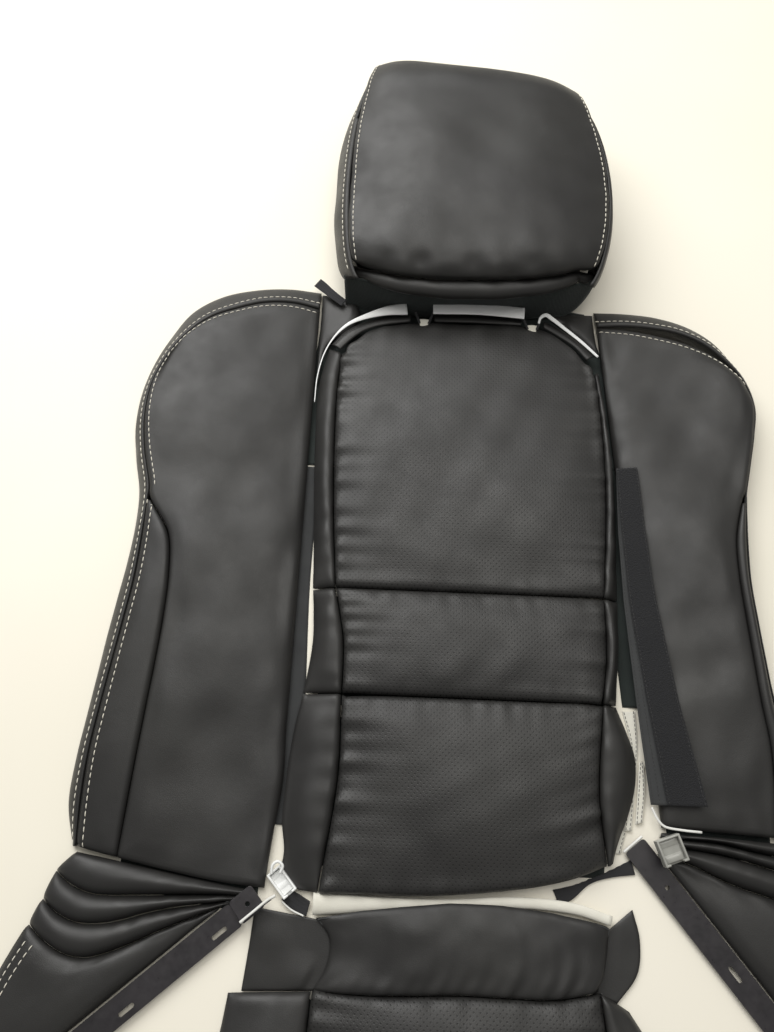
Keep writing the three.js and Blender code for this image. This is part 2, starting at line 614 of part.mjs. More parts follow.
function headrestSide(sign) {
  return (s, t) => {
    const upper = headrestFace(sign > 0 ? 1 : 0, THREE.MathUtils.lerp(SIDE_FOOT, SIDE_TOP, t));
    upper.z -= COVER_THICKNESS + SEAM_GAP * 2;
    const lower = new THREE.Vector3(upper.x * 0.985, THREE.MathUtils.lerp(MOUTH_Y, 255, t), 7);
    const point = upper.clone().lerp(lower, s);
    point.x += sign * SIDE_BULGE * Math.sin(Math.PI * s);
    return point;
  };
}

const headrest = new THREE.Group();
headrest.position.set(HEADREST_CENTRE_X, HEADREST_FOOT_Y, 0);
addPiece(headrest, 'headrest_face', 'leather', shell(headrestFace, 10, 14, COVER_THICKNESS));
[['left', -1], ['right', 1]].forEach(([side, sign]) => {
  addPiece(headrest, `headrest_side_${side}`, 'leather',
    shell((s, t) => headrestSide(sign)(sign > 0 ? s : 1 - s, t), 3, 8, COVER_THICKNESS));
});
const backHalf = [[52, 108], [90, 124], [150, 126], [215, 118], [258, 100]];
addPiece(headrest, 'headrest_back', 'leather', flatBand(
  backHalf.map(([y, half]) => [-half, y]), backHalf.map(([y, half]) => [half, y]), 0.4, LINING_TOP + 0.6));
addPiece(headrest, 'headrest_flap', 'lining', flatBand(
  [[-104, 19], [-30, 16], [30, 16], [78, 18]], [[-108, 49], [-30, 49], [30, 49], [84, 49]],
  RAISED, RAISED + COVER_THICKNESS));
const lipLine = [0.06, 0.25, 0.5, 0.75, 0.94].map((s) => {
  const point = headrestFace(s, 0);
  return [point.x, point.y + 4, point.z - LIP_DROP];
});
addPiece(headrest, 'headrest_lip', 'leather', tube(lipLine, 12, 8, 10));

// ---------------------------------------------------------------- cushion cover

const cushion = new THREE.Group();
const CUSHION = {
  rear: seam([[-118, -78, 12], [-60, -76, 13], [0, -74, 13], [60, -75, 13], [116, -79, 12]], 6),
  cross: seam([[-117, -129, 12], [-70, -130, 14], [0, -127, 14], [70, -127, 14], [106, -121, 12]], 6),
  middle: seam([[-118, -300, 16], [0, -302, 17], [112, -300, 16]], 6),
  nose: seam([[-120, -432, 18], [0, -438, 19], [116, -432, 18]], 6),
  hem: seam([[-196, -500, 5], [-110, SET_FRONT_Y, 5], [0, SET_FRONT_Y, 5], [110, SET_FRONT_Y, 5],
    [192, -500, 5]], 6),
  tailLeft: seam([[-117, -129, 12], [-104, -100, 12], [-118, -78, 12]], 3),
  tailRight: seam([[106, -121, 12], [113, -96, 12], [116, -79, 12]], 3),
  rearLeft: seam([[-117, -129, 12], [-121, -215, 15], [-118, -300, 16]], 5),
  rearRight: seam([[106, -121, 12], [114, -210, 15], [112, -300, 16]], 5),
  frontLeft: seam([[-118, -300, 16], [-120, -432, 18]], 4),
  frontRight: seam([[112, -300, 16], [116, -432, 18]], 4),
};
addPiece(cushion, 'cushion_tail', 'leather', panel(
  CUSHION.cross, CUSHION.rear, CUSHION.tailLeft, CUSHION.tailRight, { crown: 3 }));
addPiece(cushion, 'cushion_rear_panel', 'perforated', panel(
  CUSHION.cross, CUSHION.middle, CUSHION.rearLeft, CUSHION.rearRight, { crown: 8 }));
addPiece(cushion, 'cushion_front_panel', 'perforated', panel(
  CUSHION.middle, CUSHION.nose, CUSHION.frontLeft, CUSHION.frontRight, { crown: 9 }));
addPiece(cushion, 'cushion_rod', 'listing', tube(
  [[-117, -70, 7], [-66, -66.5, 7], [-12, -65.5, 7], [39, -63, 7], [85, -65, 7], [116, -72, 7]], 10, 9, 8));

// Side bolsters of the cushion cover, from the rear corner to the front apron.
const bolsterInner = { left: joined(CUSHION.rearLeft, CUSHION.frontLeft),
  right: joined(CUSHION.rearRight, CUSHION.frontRight) };
const bolsterOuter = {
  left: [[-182, -133, 5], [-190, -180, 6], [-214, -240, 7], [-226, -330, 7], [-222, -420, 7],
    [-205, -470, 6]],
  right: [[128, -133, 5], [160, -180, 6], [196, -240, 7], [214, -330, 7], [214, -420, 7],
    [200, -470, 6]],
};
['left', 'right'].forEach((side) => {
  const inner = bolsterInner[side];
  const outer = seam(bolsterOuter[side], inner.length - 1);
  const rearEdge = seam([inner[0].toArray(), outer[0].toArray()], 3);
  const frontEdge = seam([inner.at(-1).toArray(), outer.at(-1).toArray()], 3);
  addPiece(cushion, `cushion_bolster_${side}`, 'leather',
    panel(rearEdge, frontEdge, inner, outer, { crown: 9 }));
});
const noseLine = joined(joined(
  seam([[-205, -470, 6], [-120, -432, 18]], 3), CUSHION.nose), seam([[116, -432, 18], [200, -470, 6]], 3));
const apronHem = resampled(CUSHION.hem, noseLine.length - 1);
addPiece(cushion, 'cushion_apron', 'leather', panel(
  noseLine, apronHem,
  seam([noseLine[0].toArray(), apronHem[0].toArray()], 3),
  seam([noseLine.at(-1).toArray(), apronHem.at(-1).toArray()], 3), { crown: 5 }));

// Thin flaps each side of the tail.
addPiece(cushion, 'tail_flap_left', 'leather', flatBand(
  [[-168, -128], [-166, -100], [-160, -74]], [[-119, -128], [-108, -100], [-122, -74]], 0.3, 4));
addPiece(cushion, 'tail_flap_right', 'leather', flatBand(
  [[109, -122], [115.5, -96], [118.5, -74]], [[124, -128], [135, -100], [133, -68]], 0.3, 4));

// ---------------------------------------------------------------- the whole set

const set = new THREE.Group();
set.add(backrest, headrest, cushion);
set.updateMatrixWorld(true);
const footprint = new THREE.Box3().setFromObject(set, true);
set.position.y = -(footprint.min.y + footprint.max.y) / 2;
set.updateMatrixWorld(true);

export default set;
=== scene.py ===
# Looks of an unstuffed leather seat cover set laid flat: backrest, headrest and cushion covers.
# Metres, in the frame of the imported model. Most panels are drawn from their CAD node's upper face, and the
# rest from a CAD shell's outer skin or from lines of the lay drawing.

import json
import math

import bmesh
import bpy
import numpy as np
from mathutils import Matrix, Vector


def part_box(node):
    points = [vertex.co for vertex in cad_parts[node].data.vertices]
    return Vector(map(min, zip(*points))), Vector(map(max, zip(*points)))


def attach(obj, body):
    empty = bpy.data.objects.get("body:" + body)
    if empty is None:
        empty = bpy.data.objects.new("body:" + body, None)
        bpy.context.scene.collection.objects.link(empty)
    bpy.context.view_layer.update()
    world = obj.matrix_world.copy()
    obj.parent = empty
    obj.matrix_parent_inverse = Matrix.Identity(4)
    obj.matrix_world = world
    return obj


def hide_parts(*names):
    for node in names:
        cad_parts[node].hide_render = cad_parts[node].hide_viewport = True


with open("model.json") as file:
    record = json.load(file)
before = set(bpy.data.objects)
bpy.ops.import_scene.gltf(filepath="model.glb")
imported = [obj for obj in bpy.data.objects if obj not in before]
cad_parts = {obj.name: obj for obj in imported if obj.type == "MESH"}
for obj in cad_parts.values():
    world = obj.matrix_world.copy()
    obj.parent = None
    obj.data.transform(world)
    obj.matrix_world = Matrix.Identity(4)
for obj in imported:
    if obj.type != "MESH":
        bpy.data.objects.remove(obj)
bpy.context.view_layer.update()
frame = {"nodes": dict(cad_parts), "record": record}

MM = 0.001
FLOOR_CLEAR = 0.6 * MM             # lowest that any hem reaches
SKIN = 1.5 * MM                    # leather with its foam backing, as drawn
STITCH_PITCH = 6 * MM
STITCH_LENGTH = 4.3 * MM
THREAD = 0.95 * MM
SEAM_TO_STITCH = 6.2 * MM
UNDERSIDE = 0.45 * MM              # height of the linings that lie on the floor
MERGE = 0.02 * MM                  # vertices closer than this are one
LAY_CENTRE_Y = 110.99              # the lay drawing's zero is this far from the frame's, in mm
PERFORATION_CELL = 3.54 * MM       # a square set on its corner, so 5 mm from hole to hole

# ---------------------------------------------------------------- camera

CAMERA_PLACE = Vector((-0.0638, -0.1137, 0.737))
CAMERA_TILT = math.radians(20)     # from straight down
CAMERA_HEADING = Vector((-0.0422, 0.9991, 0)).normalized()
FOCAL_SHARE = 0.8091               # focal length over the picture's long side
SENSOR = 36


def add_camera():
    data = bpy.data.cameras.new("camera")
    data.sensor_width = SENSOR
    data.lens = SENSOR * FOCAL_SHARE
    data.clip_start = 0.01
    camera = bpy.data.objects.new("camera", data)
    bpy.context.scene.collection.objects.link(camera)
    look = CAMERA_HEADING * math.sin(CAMERA_TILT) - Vector((0, 0, math.cos(CAMERA_TILT)))
    right = look.cross(Vector((0, 0, 1))).normalized()
    up = right.cross(look)
    turn = Matrix((right, up, -look)).transposed().to_4x4()
    camera.matrix_world = Matrix.Translation(CAMERA_PLACE) @ turn
    bpy.context.scene.camera = camera


add_camera()

# ---------------------------------------------------------------- materials


class Nodes:
    """A material's node tree, with short calls for what the recipes below use."""

    def __init__(self, name):
        self.material = bpy.data.materials.new(name)
        self.material.use_nodes = True
        self.tree = self.material.node_tree
        self.tree.nodes.clear()
        self.output = self.add("ShaderNodeOutputMaterial")
        self.shader = self.add("ShaderNodeBsdfPrincipled")
        self.link(self.shader.outputs[0], self.output.inputs["Surface"])
        self.place = self.add("ShaderNodeTexCoord").outputs["Object"]

    def add(self, kind, **settings):
        node = self.tree.nodes.new(kind)
        for key, value in settings.items():
            setattr(node, key, value)
        return node

    def link(self, source, target):
        self.tree.links.new(source, target)

    def noise(self, scale, detail=3.0, roughness=0.5, place=None):
        node = self.add("ShaderNodeTexNoise")
        node.inputs["Scale"].default_value = scale
        node.inputs["Detail"].default_value = detail
        node.inputs["Roughness"].default_value = roughness
        self.link(place or self.place, node.inputs["Vector"])
        return node.outputs["Fac"]

    def voronoi(self, scale, feature="F1", randomness=1.0, place=None, dimensions="3D"):
        node = self.add("ShaderNodeTexVoronoi", feature=feature, voronoi_dimensions=dimensions)
        node.inputs["Scale"].default_value = scale
        node.inputs["Randomness"].default_value = randomness
        self.link(place or self.place, node.inputs["Vector"])
        return node.outputs["Distance"]

    def mapped(self, scale=(1, 1, 1), turn=(0, 0, 0)):
        node = self.add("ShaderNodeMapping")
        node.inputs["Scale"].default_value = scale
        node.inputs["Rotation"].default_value = turn
        self.link(self.place, node.inputs["Vector"])
        return node.outputs["Vector"]

    def ramp(self, value, low, high, from_low=0.0, from_high=1.0):
        node = self.add("ShaderNodeMapRange")
        node.inputs["From Min"].default_value = from_low
        node.inputs["From Max"].default_value = from_high
        node.inputs["To Min"].default_value = low
        node.inputs["To Max"].default_value = high
        self.link(value, node.inputs["Value"])
        return node.outputs["Result"]

    def blend_colours(self, share, first, second):
        node = self.add("ShaderNodeMix", data_type="RGBA")
        self.link(share, node.inputs["Factor"])
        for colour, socket in ((first, node.inputs[6]), (second, node.inputs[7])):
            if isinstance(colour, tuple):
                socket.default_value = (*colour, 1)
            else:
                self.link(colour, socket)
        return node.outputs[2]

    def bump(self, height, strength, distance, under=None):
        node = self.add("ShaderNodeBump")
        node.inputs["Strength"].default_value = strength
        node.inputs["Distance"].default_value = distance
        self.link(height, node.inputs["Height"])
        if under is not None:
            self.link(under, node.inputs["Normal"])
        return node.outputs["Normal"]

    def finish(self, colour=None, roughness=None, normal=None, **fixed):
        for value, name in ((colour, "Base Color"), (roughness, "Roughness"), (normal, "Normal")):
            if value is None:
                continue
            socket = self.shader.inputs[name]
            if isinstance(value, tuple):
                socket.default_value = (*value, 1)
            elif isinstance(value, (int, float)):
                socket.default_value = value
            else:
                self.link(value, socket)
        for name, value in fixed.items():
            self.shader.inputs[name.replace("_", " ")].default_value = value
        return self.material


LEATHER_DARK = (0.0165, 0.0160, 0.0158)
LEATHER_LIGHT = (0.0260, 0.0255, 0.0240)


def leather_material(name, perforated=False):
    """Smooth-grained leather: fine cells with soft creases between, and perforations on request."""
    n = Nodes(name)
    tone = n.noise(9, 4)
    colour = n.blend_colours(n.ramp(tone, 0, 1, 0.3, 0.7), LEATHER_DARK, LEATHER_LIGHT)
    rough = n.ramp(n.noise(38, 3), 0.40, 0.54, 0.3, 0.7)
    cells = n.voronoi(780, feature="DISTANCE_TO_EDGE")
    grain = n.bump(n.ramp(cells, 0, 1, 0.0, 0.16), 0.32, 0.10 * MM)
    pores = n.bump(n.noise(1500, 2), 0.22, 0.08 * MM, under=grain)
    soft = n.bump(n.noise(120, 3), 0.30, 0.35 * MM, under=pores)
    if not perforated:
        return n.finish(colour, rough, soft, Specular_IOR_Level=0.42)
    grid = n.mapped(turn=(0, 0, math.radians(45)))
    holes = n.voronoi(1 / PERFORATION_CELL, randomness=0.0, place=grid, dimensions="2D")
    # The holes are painted near-black: painted shade inside each perforation, which the bump shows only as a
    # shallow dimple.
    open_share = n.ramp(holes, 1, 0, 0.11, 0.18)
    dark = n.blend_colours(open_share, colour, (0.003, 0.003, 0.003))
    dimple = n.bump(n.ramp(holes, 0, 1, 0.08, 0.26), 0.42, 0.30 * MM, under=soft)
    return n.finish(dark, rough, dimple, Specular_IOR_Level=0.45)


def cloth_material(name, first, second, pitch, roughness=0.9, sheen=0.2):
    """Plain woven cloth: two crossed sets of threads."""
    n = Nodes(name)
    warp = n.add("ShaderNodeTexWave", wave_type="BANDS", bands_direction="X")
    weft = n.add("ShaderNodeTexWave", wave_type="BANDS", bands_direction="Y")
    for node in (warp, weft):
        node.inputs["Scale"].default_value = 0.314 / pitch
        node.inputs["Distortion"].default_value = 0.6
        node.inputs["Detail"].default_value = 2
        n.link(n.place, node.inputs["Vector"])
    weave = n.add("ShaderNodeMath", operation="MULTIPLY")
    n.link(warp.outputs["Fac"], weave.inputs[0])
    n.link(weft.outputs["Fac"], weave.inputs[1])
    shade = n.blend_colours(n.noise(60, 4), first, second)
    # Painted light and shade: the thread crossings, where the weave bump is highest, are painted lighter,
    # and the gaps between them darker.
    colour = n.blend_colours(n.ramp(weave.outputs[0], 0.0, 0.6), shade, second)
    threads = n.bump(weave.outputs[0], 0.5, 0.3 * MM)
    fuzz = n.bump(n.noise(900, 3), 0.35, 0.3 * MM, under=threads)
    return n.finish(colour, roughness, fuzz, Sheen_Weight=sheen, Sheen_Roughness=0.5)


def fuzz_material(name):
    """Loop tape: a dark nap, painted lighter on its tangled tips and darker in its hollows, from the same
    noise as its bump: painted light and shade.
    """
    n = Nodes(name)
    tangle = n.noise(1500, 6, 0.75)
    tufts = n.voronoi(900)
    # Painted light on the raised tips of the nap and painted shade in its hollows.
    colour = n.blend_colours(n.ramp(tangle, 0, 1, 0.35, 0.75), (0.002, 0.002, 0.003),
                             (0.014, 0.015, 0.018))
    loops = n.bump(tufts, 0.9, 0.9 * MM)
    nap = n.bump(tangle, 0.9, 0.6 * MM, under=loops)
    return n.finish(colour, 0.95, nap, Sheen_Weight=0.08, Sheen_Roughness=0.6)


def plastic_material(name, colour, darker, roughness, clear=0.0):
    """Moulded plastic with faint flow marks and handling scuffs."""
    n = Nodes(name)
    shade = n.blend_colours(n.ramp(n.noise(55, 4), 0, 1, 0.35, 0.75), colour, darker)
    rough = n.ramp(n.noise(240, 5), roughness * 0.8, roughness * 1.35, 0.3, 0.7)
    scuffs = n.bump(n.noise(700, 4, 0.7), 0.25, 0.12 * MM)
    return n.finish(shade, rough, scuffs, Subsurface_Weight=clear, Subsurface_Scale=0.004,
                    Specular_IOR_Level=0.5)


def thread_material(name, first=(0.62, 0.58, 0.48), second=(0.80, 0.77, 0.68)):
    """Polyester topstitching thread with its twist."""
    n = Nodes(name)
    twist = n.noise(2600, 2)
    # Painted light and shade: the twist's ridges, where the bump rises, are painted lighter, and its grooves
    # darker.
    colour = n.blend_colours(twist, first, second)
    return n.finish(colour, 0.55, n.bump(twist, 0.5, 0.15 * MM), Sheen_Weight=0.15)


def floor_material():
    n = Nodes("floor")
    tone = n.ramp(n.noise(2.2, 3), 0, 1, 0.35, 0.7)
    colour = n.blend_colours(tone, (0.83, 0.79, 0.675), (0.87, 0.83, 0.73))
    return n.finish(colour, 0.6, n.bump(n.noise(400, 3), 0.08, 0.2 * MM))


LEATHER = leather_material("leather")
PERFORATED = leather_material("perforated_leather", perforated=True)
LINING = cloth_material("lining_cloth", (0.007, 0.011, 0.010), (0.015, 0.022, 0.020), 0.7 * MM)
SCRIM = cloth_material("backing_cloth", (0.018, 0.019, 0.020), (0.042, 0.044, 0.045), 0.8 * MM)
RIBBON = cloth_material("woven_ribbon", (0.008, 0.008, 0.009), (0.024, 0.024, 0.027), 0.9 * MM)
LISTING = cloth_material("listing_cloth", (0.66, 0.64, 0.55), (0.80, 0.78, 0.70), 0.6 * MM, 0.7)
LOOPTAPE = fuzz_material("loop_tape")
# White listing cloth for the rods, made whiter than the sleeves' cloth as painted light, to make up for the
# shade the neck listing lies in under the headrest's lip.
WHITE_LISTING_BRIGHTENED = cloth_material("white_listing_brightened", (0.86, 0.87, 0.86), (0.93, 0.94, 0.94), 0.6 * MM, 0.6)
CLIP = plastic_material("clip_plastic", (0.88, 0.89, 0.88), (0.80, 0.81, 0.80), 0.25)
CLEAR = plastic_material("smoky_plastic", (0.36, 0.36, 0.33), (0.24, 0.24, 0.22), 0.2)
STRIP = plastic_material("strip_plastic", (0.016, 0.0145, 0.0165), (0.028, 0.025, 0.028), 0.34)
CORE = plastic_material("strip_core", (0.78, 0.78, 0.75), (0.66, 0.66, 0.62), 0.5)
THREADS = thread_material("topstitch_thread")
DARK_THREAD = thread_material("dark_thread", (0.010, 0.010, 0.010), (0.022, 0.022, 0.022))

FINISH_OF_SLOT = {
    "leather": LEATHER, "perforated": PERFORATED, "lining": LINING, "ribbon": RIBBON,
    "looptape": LOOPTAPE, "backing": SCRIM, "listing": LISTING, "clip": CLIP, "strip": STRIP,
}

SLOT_OF_NODE = {row["node"]: row["material_slot"] for row in frame["record"]["subparts"]}
BODY_OF_NODE = {
    node: body
    for body, nodes in frame["record"]["behaviour"]["bodies"].items()
    for node in nodes
}

# ---------------------------------------------------------------- smooth noise


def waves(points, size, seed, count=14):
    """Soft random hills from -1 to 1 or so, about size apart, as a sum of slanted sine waves."""
    random = np.random.default_rng(seed)
    total = np.zeros(points.shape[:-1])
    for _ in range(count):
        direction = random.normal(size=3)
        direction /= np.linalg.norm(direction)
        length = size * random.uniform(0.7, 1.6)
        phase = random.uniform(0, 2 * math.pi)
        total += np.sin(points @ direction * (2 * math.pi / length) + phase)
    return total / math.sqrt(count / 2) / 1.6


def ripples(along, size, seed, count=9):
    """Uneven ripples along a line."""
    random = np.random.default_rng(seed)
    total = np.zeros_like(along)
    for _ in range(count):
        length = size * random.uniform(0.6, 1.9)
        total += np.sin(along * (2 * math.pi / length) + random.uniform(0, 2 * math.pi))
    return total / math.sqrt(count / 2) / 1.6


def smooth(value):
    value = np.clip(value, 0, 1)
    return value * value * (3 - 2 * value)


# ---------------------------------------------------------------- the CAD panels' grids


def cad_grid(node, steepest=0.05):
    """The upper face of a CAD panel as rows of points: rows go towards +Y, columns towards +X."""
    mesh = bmesh.new()
    mesh.from_mesh(frame["nodes"][node].data)
    bmesh.ops.remove_doubles(mesh, verts=mesh.verts, dist=MERGE)
    mesh.normal_update()
    hidden = [face for face in mesh.faces if face.normal.z < steepest]
    bmesh.ops.delete(mesh, geom=hidden, context="FACES")
    grid = walk_grid(mesh)
    mesh.free()
    return turned_to_axes(grid)


def neighbours(vert):
    return [edge.other_vert(vert) for edge in vert.link_edges]


def walk_grid(mesh):
    """Reads a triangulated grid back as rows, from a corner that only one triangle touches."""
    corner = next(v for v in mesh.verts if len(v.link_edges) == 2)
    loop = [corner]
    while True:
        ahead = [v for v in neighbours(loop[-1]) if v.is_boundary and v not in loop[-2:]
                 and any(e.is_boundary and e.other_vert(loop[-1]) == v for e in v.link_edges)]
        ahead = [v for v in ahead if v is not corner or len(loop) > 2]
        if not ahead or ahead[0] is corner:
            break
        loop.append(ahead[0])
    turns = [k for k, v in enumerate(loop) if len(v.link_edges) in (2, 3)]
    first_row = loop[:turns[1] + 1]
    left = [corner] + loop[:turns[3] - 1:-1]
    rows = [first_row]
    used = set(first_row)
    for start in left[1:]:
        row = [start]
        used.add(start)
        for above in rows[-1][1:]:
            shared = [v for v in neighbours(above) if v in neighbours(row[-1]) and v not in used]
            row.append(shared[0])
            used.add(shared[0])
        rows.append(row)
    return np.array([[tuple(v.co) for v in row] for row in rows])


def turned_to_axes(grid):
    """Transposes and flips a grid so that its rows go towards +Y and its columns towards +X."""
    down = (grid[-1] - grid[0]).mean(axis=0)
    across = (grid[:, -1] - grid[:, 0]).mean(axis=0)
    if abs(down[1]) / np.linalg.norm(down) < abs(across[1]) / np.linalg.norm(across):
        grid = grid.transpose(1, 0, 2)
        down, across = across, down
    if down[1] < 0:
        grid = grid[::-1]
    if across[0] < 0:
        grid = grid[:, ::-1]
    return np.ascontiguousarray(grid)


def curve_samples(points, count):
    """Catmull-Rom samples through equally spaced points, along the first axis."""
    last = len(points) - 1
    place = np.linspace(0, last, count)
    cell = np.minimum(place.astype(int), last - 1)
    share = (place - cell).reshape((-1,) + (1,) * (points.ndim - 1))
    ends = np.concatenate([[2 * points[0] - points[1]], points, [2 * points[-1] - points[-2]]])
    a, b, c, d = (ends[cell + k] for k in range(4))
    return 0.5 * (2 * b + (c - a) * share + (2 * a - 5 * b + 4 * c - d) * share ** 2
                  + (3 * b - a - 3 * c + d) * share ** 3)


def line_lengths(grid, axis):
    steps = np.linalg.norm(np.diff(grid, axis=axis), axis=2)
    return steps.sum(axis=axis).mean()


def refined(grid, spacing):
    rows = max(int(line_lengths(grid, 0) / spacing), 4) + 1
    columns = max(int(line_lengths(grid, 1) / spacing), 4) + 1
    tall = curve_samples(grid, rows)
    return curve_samples(tall.transpose(1, 0, 2), columns).transpose(1, 0, 2)


def grid_normals(grid):
    down = np.gradient(grid, axis=0)
    across = np.gradient(grid, axis=1)
    normals = np.cross(across, down)
    return normals / np.maximum(np.linalg.norm(normals, axis=2, keepdims=True), 1e-12)


def lay(x, y, z):
    """A place in the set's lay drawing, in millimetres, as metres in the frame."""
    return (x * MM, (y - LAY_CENTRE_Y) * MM, z * MM)


def lay_line(places, count):
    """Samples of a smooth line through evenly spread places of the lay drawing."""
    return curve_samples(np.array([lay(*place) for place in places]), count)


def ruled(south, north, spacing=2.5 * MM):
    """A grid between two lay lines that both run towards +X."""
    low, high = lay_line(south, 60), lay_line(north, 60)
    share = np.linspace(0, 1, 5)[:, None, None]
    return refined(low * (1 - share) + high * share, spacing)


def ruled_up(west, east, spacing=2.5 * MM):
    """A grid between two lay lines that both run towards +Y."""
    left, right = lay_line(west, 60)[:, None], lay_line(east, 60)[:, None]
    share = np.linspace(0, 1, 5)[None, :, None]
    return refined(left * (1 - share) + right * share, spacing)


def cad_shell(node, outward, fold=math.radians(50)):
    """The outer skin of a curved CAD shell as a grid, grown from its outermost face to its rim."""
    mesh = bmesh.new()
    mesh.from_mesh(frame["nodes"][node].data)
    bmesh.ops.remove_doubles(mesh, verts=mesh.verts, dist=MERGE)
    mesh.normal_update()
    outward = Vector(outward)
    seed = max((f for f in mesh.faces if f.normal.dot(outward) > 0.8),
               key=lambda f: f.calc_center_median().dot(outward))
    kept, waiting = {seed}, [seed]
    while waiting:
        face = waiting.pop()
        for edge in face.edges:
            for other in edge.link_faces:
                if other not in kept and face.normal.angle(other.normal) < fold:
                    kept.add(other)
                    waiting.append(other)
    bmesh.ops.delete(mesh, geom=[f for f in mesh.faces if f not in kept], context="FACES")
    grid = walk_grid(mesh)
    mesh.free()
    return turned_to_axes(grid)


def cad_panel(node, spacing):
    """A CAD panel's upper face as a fine surface."""
    return Surface(refined(cad_grid(node), spacing))


class Surface:
    """A fine grid with its distances to its four sides: w, e (columns' ends) and s, n (rows' ends)."""

    def __init__(self, grid, centre=None):
        self.points = grid
        away = (0, 0, 1) if centre is None else grid - np.asarray(centre)
        self.outward = 1 if (grid_normals(grid) * away).sum() > 0 else -1
        down = np.linalg.norm(np.diff(grid, axis=0), axis=2)
        across = np.linalg.norm(np.diff(grid, axis=1), axis=2)
        self.along_rows = np.pad(down.cumsum(axis=0), ((1, 0), (0, 0)))
        self.along_columns = np.pad(across.cumsum(axis=1), ((0, 0), (1, 0)))
        self.side = {
            "s": self.along_rows,
            "n": self.along_rows[-1:] - self.along_rows,
            "w": self.along_columns,
            "e": self.along_columns[:, -1:] - self.along_columns,
        }

    def run(self, side):
        """Length along the named side."""
        return self.along_columns if side in "sn" else self.along_rows

    def push(self, amount):
        normals = grid_normals(self.points) * self.outward
        self.points = self.points + normals * amount[..., None]

    def roll(self, side, depth, radius):
        """Rounds an edge down, as leather turns into its seam."""
        share = np.clip(1 - self.side[side] / radius, 0, 1)
        self.points[..., 2] -= depth * (1 - np.sqrt(1 - share ** 2 * 0.98))

    def tuck(self, side, depth, radius):
        """Rounds an edge inwards, for a surface that doesn't lie flat."""
        share = np.clip(1 - self.side[side] / radius, 0, 1)
        self.push(-depth * (1 - np.sqrt(1 - share ** 2 * 0.98)))

    def pucker(self, side, height, reach, size, seed):
        """Small gathers that run in from a sewn side."""
        fade = np.exp(-self.side[side] / reach) * smooth(self.side[side] / (1.5 * MM))
        self.push(height * fade * ripples(self.run(side), size, seed))

    def hills(self, height, size, seed, keep_edges=True):
        amount = height * waves(self.points, size, seed)
        if keep_edges:
            nearest = np.minimum.reduce(list(self.side.values()))
            amount = amount * smooth(nearest / (18 * MM))
        self.push(amount)

    def line(self, side, distance):
        """Points that lie a given distance in from a side."""
        points, away = self.points, self.side[side]
        if side in "we":
            points, away = points.transpose(1, 0, 2), away.T
        if side in "ne":
            points, away = points[::-1], away[::-1]
        index = np.argmax(away >= distance, axis=0)
        index = np.maximum(index, 1)
        columns = np.arange(away.shape[1])
        low, high = away[index - 1, columns], away[index, columns]
        share = np.clip((distance - low) / np.maximum(high - low, 1e-9), 0, 1)[:, None]
        return points[index - 1, columns] * (1 - share) + points[index, columns] * share


# ---------------------------------------------------------------- meshes


def add_object(name, verts, faces, materials, body):
    mesh = bpy.data.meshes.new(name)
    mesh.from_pydata([tuple(v) for v in verts], [], faces)
    mesh.validate()
    for material in materials:
        mesh.materials.append(material)
    mesh.shade_smooth()
    piece = bpy.data.objects.new(name, mesh)
    bpy.context.scene.collection.objects.link(piece)
    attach(piece, body)
    return piece


def rim_loop(rows, columns):
    """Grid indices round its border, in order."""
    at = lambda j, i: j * columns + i
    loop = [at(0, i) for i in range(columns - 1)]
    loop += [at(j, columns - 1) for j in range(rows - 1)]
    loop += [at(rows - 1, i) for i in range(columns - 1, 0, -1)]
    loop += [at(j, 0) for j in range(rows - 1, 0, -1)]
    return loop


def hemmed_mesh(points, floor, tuck=1.2 * MM):
    """A grid with a hem that turns down round its border to the floor height."""
    rows, columns = points.shape[:2]
    verts = [tuple(p) for p in points.reshape(-1, 3)]
    faces = grid_faces(rows, columns)
    loop = rim_loop(rows, columns)
    border = points.reshape(-1, 3)[loop]
    if callable(floor):
        floor = floor(border)
    flow = np.roll(border, -1, axis=0) - np.roll(border, 1, axis=0)
    outward = np.stack([flow[:, 1], -flow[:, 0], np.zeros(len(flow))], axis=1)
    outward /= np.maximum(np.linalg.norm(outward, axis=1, keepdims=True), 1e-9)
    last = loop
    for sink, out in ((0.18, 0.12), (0.45, 0.05), (1.0, -1.0)):
        ring = border + outward * tuck * out
        ring[:, 2] = border[:, 2] + (np.minimum(floor, border[:, 2] - 0.2 * MM) - border[:, 2]) * sink
        first = len(verts)
        verts += [tuple(p) for p in ring]
        count = len(loop)
        new = list(range(first, first + count))
        faces += [
            (last[k], new[k], new[(k + 1) % count], last[(k + 1) % count])
            for k in range(count)
        ]
        last = new
    return verts, faces


def give_thickness(piece, thickness, backed):
    """Thickens a piece inwards, with its second material on the back where it has one."""
    skin = piece.modifiers.new("skin", "SOLIDIFY")
    skin.thickness = thickness
    skin.offset = -1
    skin.use_even_offset = False
    if backed:
        skin.material_offset = 1


def leather_piece(name, surface, floor=FLOOR_CLEAR):
    """The shown panel for the CAD node of the same name."""
    slot = SLOT_OF_NODE[name]
    lowest = SKIN + 0.3 * MM + (FLOOR_CLEAR if callable(floor) else floor)
    surface.points[..., 2] = np.maximum(surface.points[..., 2], lowest)
    verts, faces = hemmed_mesh(surface.points, floor)
    materials = [FINISH_OF_SLOT[slot], SCRIM]
    piece = add_object(name + ".skin", verts, faces, materials, BODY_OF_NODE[name])
    give_thickness(piece, SKIN, backed=True)
    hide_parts(name)
    return piece


def grid_faces(rows, columns, flip=False):
    at = lambda j, i: j * columns + i
    faces = [
        (at(j, i), at(j, i + 1), at(j + 1, i + 1), at(j + 1, i))
        for j in range(rows - 1)
        for i in range(columns - 1)
    ]
    return [face[::-1] for face in faces] if flip else faces


